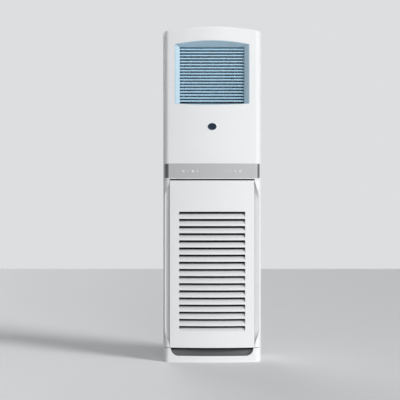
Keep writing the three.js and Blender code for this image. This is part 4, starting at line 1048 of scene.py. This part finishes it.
def makeSideTrim(name, side):  # a strip of the front with a grip channel that falls back from the panel
    low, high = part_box(name)
    inner = min(abs(low.x), abs(high.x))
    edge = inner - grip["edgeInset"]
    outer = inner + grip["edgeX"]
    start = inner - grip["run"]
    foot = grip["innerLow"] - grip["overrun"]
    head = grip["innerHigh"] + grip["overrun"]
    points = [
        (start, foot), (edge, foot), (edge, grip["innerLow"]), (outer, grip["outerLow"]),
        (outer, grip["outerHigh"]), (edge, grip["innerHigh"]), (edge, head), (start, head),
    ]

    def slab(pieceName, near, far, y, z):
        x = sorted((side * near, side * far))
        return blockPiece(pieceName, (x[0], y[0], z[0]), (x[1], y[1], z[1]))

    column = frontColumn("sideTrimRight" if side > 0 else "sideTrimLeft", 0, -high.y, low.z, high.z)
    keepWithin(column, slab(
        "trimSlice", inner, front["half"] + past, (-beyond, behind), (low.z - past, high.z + past),
    ))
    bm = bmesh.new()
    corners = [(side * x, z) for x, z in points]
    roundedPlate(bm, corners, (2, 3, 4, 5), grip["curve"], grip["curveSteps"], low.y - 2 * past)
    floorY = frontFace(inner) + grip["depth"]
    for vert in raised(bm, (0, floorY - low.y, 0)):
        vert.co.y = floorY - (abs(vert.co.x) - inner) * grip["fall"]
    wall = grip["pocketWall"]
    pocket = slab(
        "pocket", inner + wall, front["half"] - wall, (floorY + grip["floorWall"], high.y + past),
        (grip["pocketLow"], grip["pocketHigh"]),
    )
    cutAway(column, pieceFrom(bm, "channel"), pocket)
    bodyPiece(softened(column, grip["soft"]), name, "shell", name, slot="shell")


makeSideTrim("side_trim_left", -1)
makeSideTrim("side_trim_right", 1)

plinth = {
    "wall": 0.003, "soft": 0.0011, "recessHalf": 0.215, "recessFloor": 0.033, "recessWall": 0.006,
    "recessCorner": 0.0405, "cornerSteps": 14,
    "line": {"z": 0.012, "half": 0.0006, "depth": 0.0007},
}


def makeBaseTrim():
    low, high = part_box("base_trim")
    outer = frontColumn("baseTrim", 0, -high.y, low.z, high.z)
    inner = frontColumn("inner", plinth["wall"], -high.y - past, low.z - past, high.z + past)
    foot = plinth["recessFloor"]
    bm = bmesh.new()
    corners = rectangle(0, foot, 2 * plinth["recessHalf"], high.z + past - foot)
    roundedPlate(bm, corners, (0, 1), plinth["recessCorner"], plinth["cornerSteps"], low.y - past)
    raised(bm, (0, high.y - low.y - plinth["recessWall"], 0))
    cutAway(outer, inner, pieceFrom(bm, "recess"), grooveTool(plinth["line"]))
    bodyPiece(softened(outer, plinth["soft"]), "base_trim", "shell", "base_trim", slot="shell")


makeBaseTrim()

seam = {"lowZ": 0.0729, "highZ": 0.0755, "inset": 0.0016, "depth": 0.004, "fromX": 0.2158}


def makeSeamLiners():  # dark strips in the joint between the base trim and the side trims
    for side, name in ((-1, "seamLinerLeft"), (1, "seamLinerRight")):
        strip = slabAcross(
            name, side * seam["fromX"], side * beyond, seam["lowZ"], seam["highZ"],
            -seam["inset"], seam["depth"],
        )
        bodyPiece(strip, "base_trim", "darkPlastic", slot="dark_plastic")


makeSeamLiners()

recessShade = {"half": 0.2125, "lowZ": 0.0655, "highZ": 0.0729, "inset": 0.011, "depth": 0.012}


def makeRecessShadeStrip():  # a dark strip set back along the top of the finger recess: painted shadow where the intake panel above shades the recess
    half = recessShade["half"]
    strip = slabAcross(
        "recessSeal", -half, half, recessShade["lowZ"], recessShade["highZ"], -recessShade["inset"], recessShade["depth"],
    )
    bodyPiece(strip, "base_trim", "foam", slot="dark_plastic")


makeRecessShadeStrip()
print("side trims and base made")

vane = {
    "chord": 0.022, "thick": 0.0026, "tilt": 28, "segments": 20, "endGap": 0.0042,
    "pinRadius": 0.002, "crankX": -0.15, "crank": 0.016, "crankPin": 0.0015, "ear": 0.002, "sides": 12,
}


def makeVane(name):  # a blade of lens section on two pins, with a crank ear at its rear edge
    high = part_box(name)[1]
    joint = next(j for j in frame["record"]["behaviour"]["joints"] if j["name"] == name + "_tilt")
    pivot = Vector(joint["pos_m"])
    turn = Matrix.Translation(pivot) @ Matrix.Rotation(math.radians(vane["tilt"]), 4, "X")
    reach = high.x - vane["endGap"]
    crankX = vane["crankX"]
    halfEar = vane["thick"] * 0.35
    bm = bmesh.new()
    section = turn @ Matrix.Translation((-reach, 0, 0)) @ Matrix.Rotation(math.pi / 2, 4, "Y")
    sized = section @ Matrix.Diagonal((vane["thick"] / 2, vane["chord"] / 2, 1, 1))
    ops.create_circle(bm, cap_ends=True, segments=vane["segments"], radius=1, matrix=sized)
    raised(bm, (2 * reach, 0, 0))
    for side in (-1, 1):
        ends = [pivot + Vector((side * x, 0, 0)) for x in (reach - lap, high.x)]
        barrelAt(bm, *ends, vane["pinRadius"], vane["sides"])
    ear = cubeAt(
        bm, (crankX, vane["crank"] * 0.5, -halfEar), (crankX + vane["ear"], vane["crank"] * 1.08, halfEar),
    )
    ops.transform(bm, matrix=turn, verts=ear)
    pin = turn @ Vector((crankX, vane["crank"], 0))
    ends = [pin + Vector((x, 0, 0)) for x in (-0.0035, 0.0005)]
    barrelAt(bm, *ends, vane["crankPin"], vane["sides"])
    blade = pieceFrom(bm, "blade" + name.title().replace("_", ""))
    bodyPiece(blade, name, "vane", name, slot="vane")


for vaneName in sorted(n for n in nodes if n.startswith("vane_") and n != "vane_link"):
    makeVane(vaneName)
print("vanes made")

net = {
    "thick": 0.0004, "edge": 0.006, "frontOffset": 0.0012, "cuts": 6,
    # the net's near-black is partly painted shade: it darkens the tops of the intake slots, where the lips
    # above cast shadow
    "colour": (0.1, 0.11, 0.12), "gains": (0.5, 1.6), "rough": 0.85, "meshPitch": 0.0018,
    "weaveShare": 0.25, "cloudScale": 11.0, "bump": 0.4, "bumpDepth": 0.0004,
}


def netFinish():  # a woven pattern of two crossed waves
    made, shader, links, add = tree("filterNet")
    where = add("ShaderNodeTexCoord").outputs["Object"]
    split = add("ShaderNodeSeparateXYZ", {"Vector": where})

    def maths(operation, *values):
        return add("ShaderNodeMath", dict(enumerate(values)), operation=operation).outputs["Value"]

    turns = 2 * math.pi / net["meshPitch"]
    waves = [maths("SINE", maths("MULTIPLY", split.outputs[axis], turns)) for axis in ("X", "Z")]
    weave = maths("MAXIMUM", *waves)
    clouds = {"Vector": where, "Scale": net["cloudScale"], "Detail": 3.0}
    cloud = add("ShaderNodeTexNoise", clouds).outputs["Fac"]
    level = maths("ADD", maths("MULTIPLY", weave, net["weaveShare"]), cloud)
    links.new(colourRamp(add, level, (0.2, 0.9), net["colour"], net["gains"]), shader.inputs["Base Color"])
    bump = add("ShaderNodeBump", {"Height": weave, "Strength": net["bump"], "Distance": net["bumpDepth"]})
    links.new(bump.outputs["Normal"], shader.inputs["Normal"])
    shader.inputs["Roughness"].default_value = net["rough"]
    return made


def makeFilterNet():  # the fine net that lies in the filter's frame; its near-black is partly painted shade behind the slots
    low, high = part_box("air_filter")
    middle = (low.y + high.y) / 2 + net["frontOffset"]
    half = net["thick"] / 2
    edge = net["edge"]
    bm = bmesh.new()
    cubeAt(bm, (low.x + edge, middle - half, low.z + edge), (high.x - edge, middle + half, high.z - edge))
    ops.subdivide_edges(bm, edges=bm.edges[:], cuts=net["cuts"], use_grid_fill=True)
    material["filterNet"] = netFinish()
    bodyPiece(pieceFrom(bm, "filterNet"), "air_filter", "filterNet", slot="filter")


makeFilterNet()

carried = {  # the frame's nodes that keep their own shape, under the look they get
    "basePaint": ["base_pan"], "filterFrame": ["air_filter"], "housing": ["fan_housing"],
    "duct": ["outlet_duct", *[node for node in nodes if node.startswith("deflector_")]],
    "vane": ["vane_link"], "darkPlastic": ["inlet_ring", "blower_wheel"], "steel": ["motor_shaft"],
    "motor": ["fan_motor"], "fins": ["evaporator_fins"],
    "copper": ["evaporator_tubes", "gas_pipe", "liquid_pipe"],
    "zinc": ["swing_motor", "motor_bracket", "deck_plate", "control_box", "control_box_lid"],
    "hose": ["drain_pan"], "board": ["main_board", "display_board"], "terminal": ["terminal_block"],
}
for lookName, nodeNames in carried.items():
    for nodeName in nodeNames:
        for materialSlot in nodes[nodeName].material_slots:
            materialSlot.material = material[lookName]
print("frame nodes finished")

studio = {
    "reach": 16.0, "world": 0.145, "skyColour": (0.93, 0.95, 1.0), "wallColour": (0.865, 0.87, 0.875),
    "floor": {
        "colour": (0.86, 0.865, 0.87), "drift": 0.01, "rough": (0.7, 0.05), "scales": (2.0, 200.0),
        "bump": (0.02, 0.0002),
    },
    "key": {"kind": "SUN", "energy": 2.38, "spread": 20, "at": (8.35, -6.5, 7.2)},
    "front": {"kind": "AREA", "energy": 160, "spread": 3.0, "at": (1.6, -9.2, 4.8)},
    "fill": {"kind": "AREA", "energy": 5, "spread": 2.6, "at": (-3.0, -4.2, 1.6)},
    "top": {"kind": "AREA", "energy": 2.5, "spread": 3.0, "at": (0.2, -0.6, 4.2)},
    "rear": {"kind": "SUN", "energy": 0.7, "spread": 30, "at": (-3.0, 9.0, 4.2)},
    "target": (0.0, 0.0, 0.85), "cameraAt": (-0.063, -6.156, 0.843), "lens": 104.1,
}


def makeFloor():
    bm = bmesh.new()
    ops.create_grid(bm, x_segments=1, y_segments=1, size=studio["reach"] / 2)
    floor = pieceFrom(bm, "studioFloor")
    floor.data.materials.append(finish("floorPaint", studio["floor"]))


def makeWorld():  # a cool even light, which the camera and glossy faces see as a pale wall
    world = bpy.data.worlds.new("studioWorld")
    bpy.context.scene.world = world
    world.use_nodes = True
    made = world.node_tree.nodes
    links = world.node_tree.links
    light = made["Background"]
    light.inputs["Color"].default_value = (*studio["skyColour"], 1)
    light.inputs["Strength"].default_value = studio["world"]
    wall = made.new("ShaderNodeBackground")
    wall.inputs["Color"].default_value = (*linear(studio["wallColour"]), 1)
    path = made.new("ShaderNodeLightPath")
    either = made.new("ShaderNodeMath")
    either.operation = "MAXIMUM"
    links.new(path.outputs["Is Camera Ray"], either.inputs[0])
    links.new(path.outputs["Is Glossy Ray"], either.inputs[1])
    mix = made.new("ShaderNodeMixShader")
    links.new(either.outputs["Value"], mix.inputs["Fac"])
    links.new(light.outputs["Background"], mix.inputs[1])
    links.new(wall.outputs["Background"], mix.inputs[2])
    links.new(mix.outputs["Shader"], made["World Output"].inputs["Surface"])


def makeLamp(name):
    values = studio[name]
    lamp = bpy.data.lights.new(name + "Lamp", values["kind"])
    lamp.energy = values["energy"]
    if values["kind"] == "SUN":
        lamp.angle = math.radians(values["spread"])
    else:
        lamp.size = values["spread"]
    holder = linked(name + "Lamp", lamp)
    holder.location = values["at"]
    holder.visible_camera = False
    aim = Vector(studio["target"]) - Vector(values["at"])
    holder.rotation_euler = aim.to_track_quat("-Z", "Y").to_euler()


def makeCamera():
    camera = linked("camera", bpy.data.cameras.new("camera"))
    camera.location = studio["cameraAt"]
    camera.rotation_euler = (math.pi / 2, 0, 0)
    camera.data.lens = studio["lens"]
    bpy.context.scene.camera = camera


makeFloor()
makeWorld()
for lampName in ("key", "front", "fill", "top", "rear"):
    makeLamp(lampName)
makeCamera()
bpy.context.scene.view_settings.view_transform = "Standard"
print("studio made")
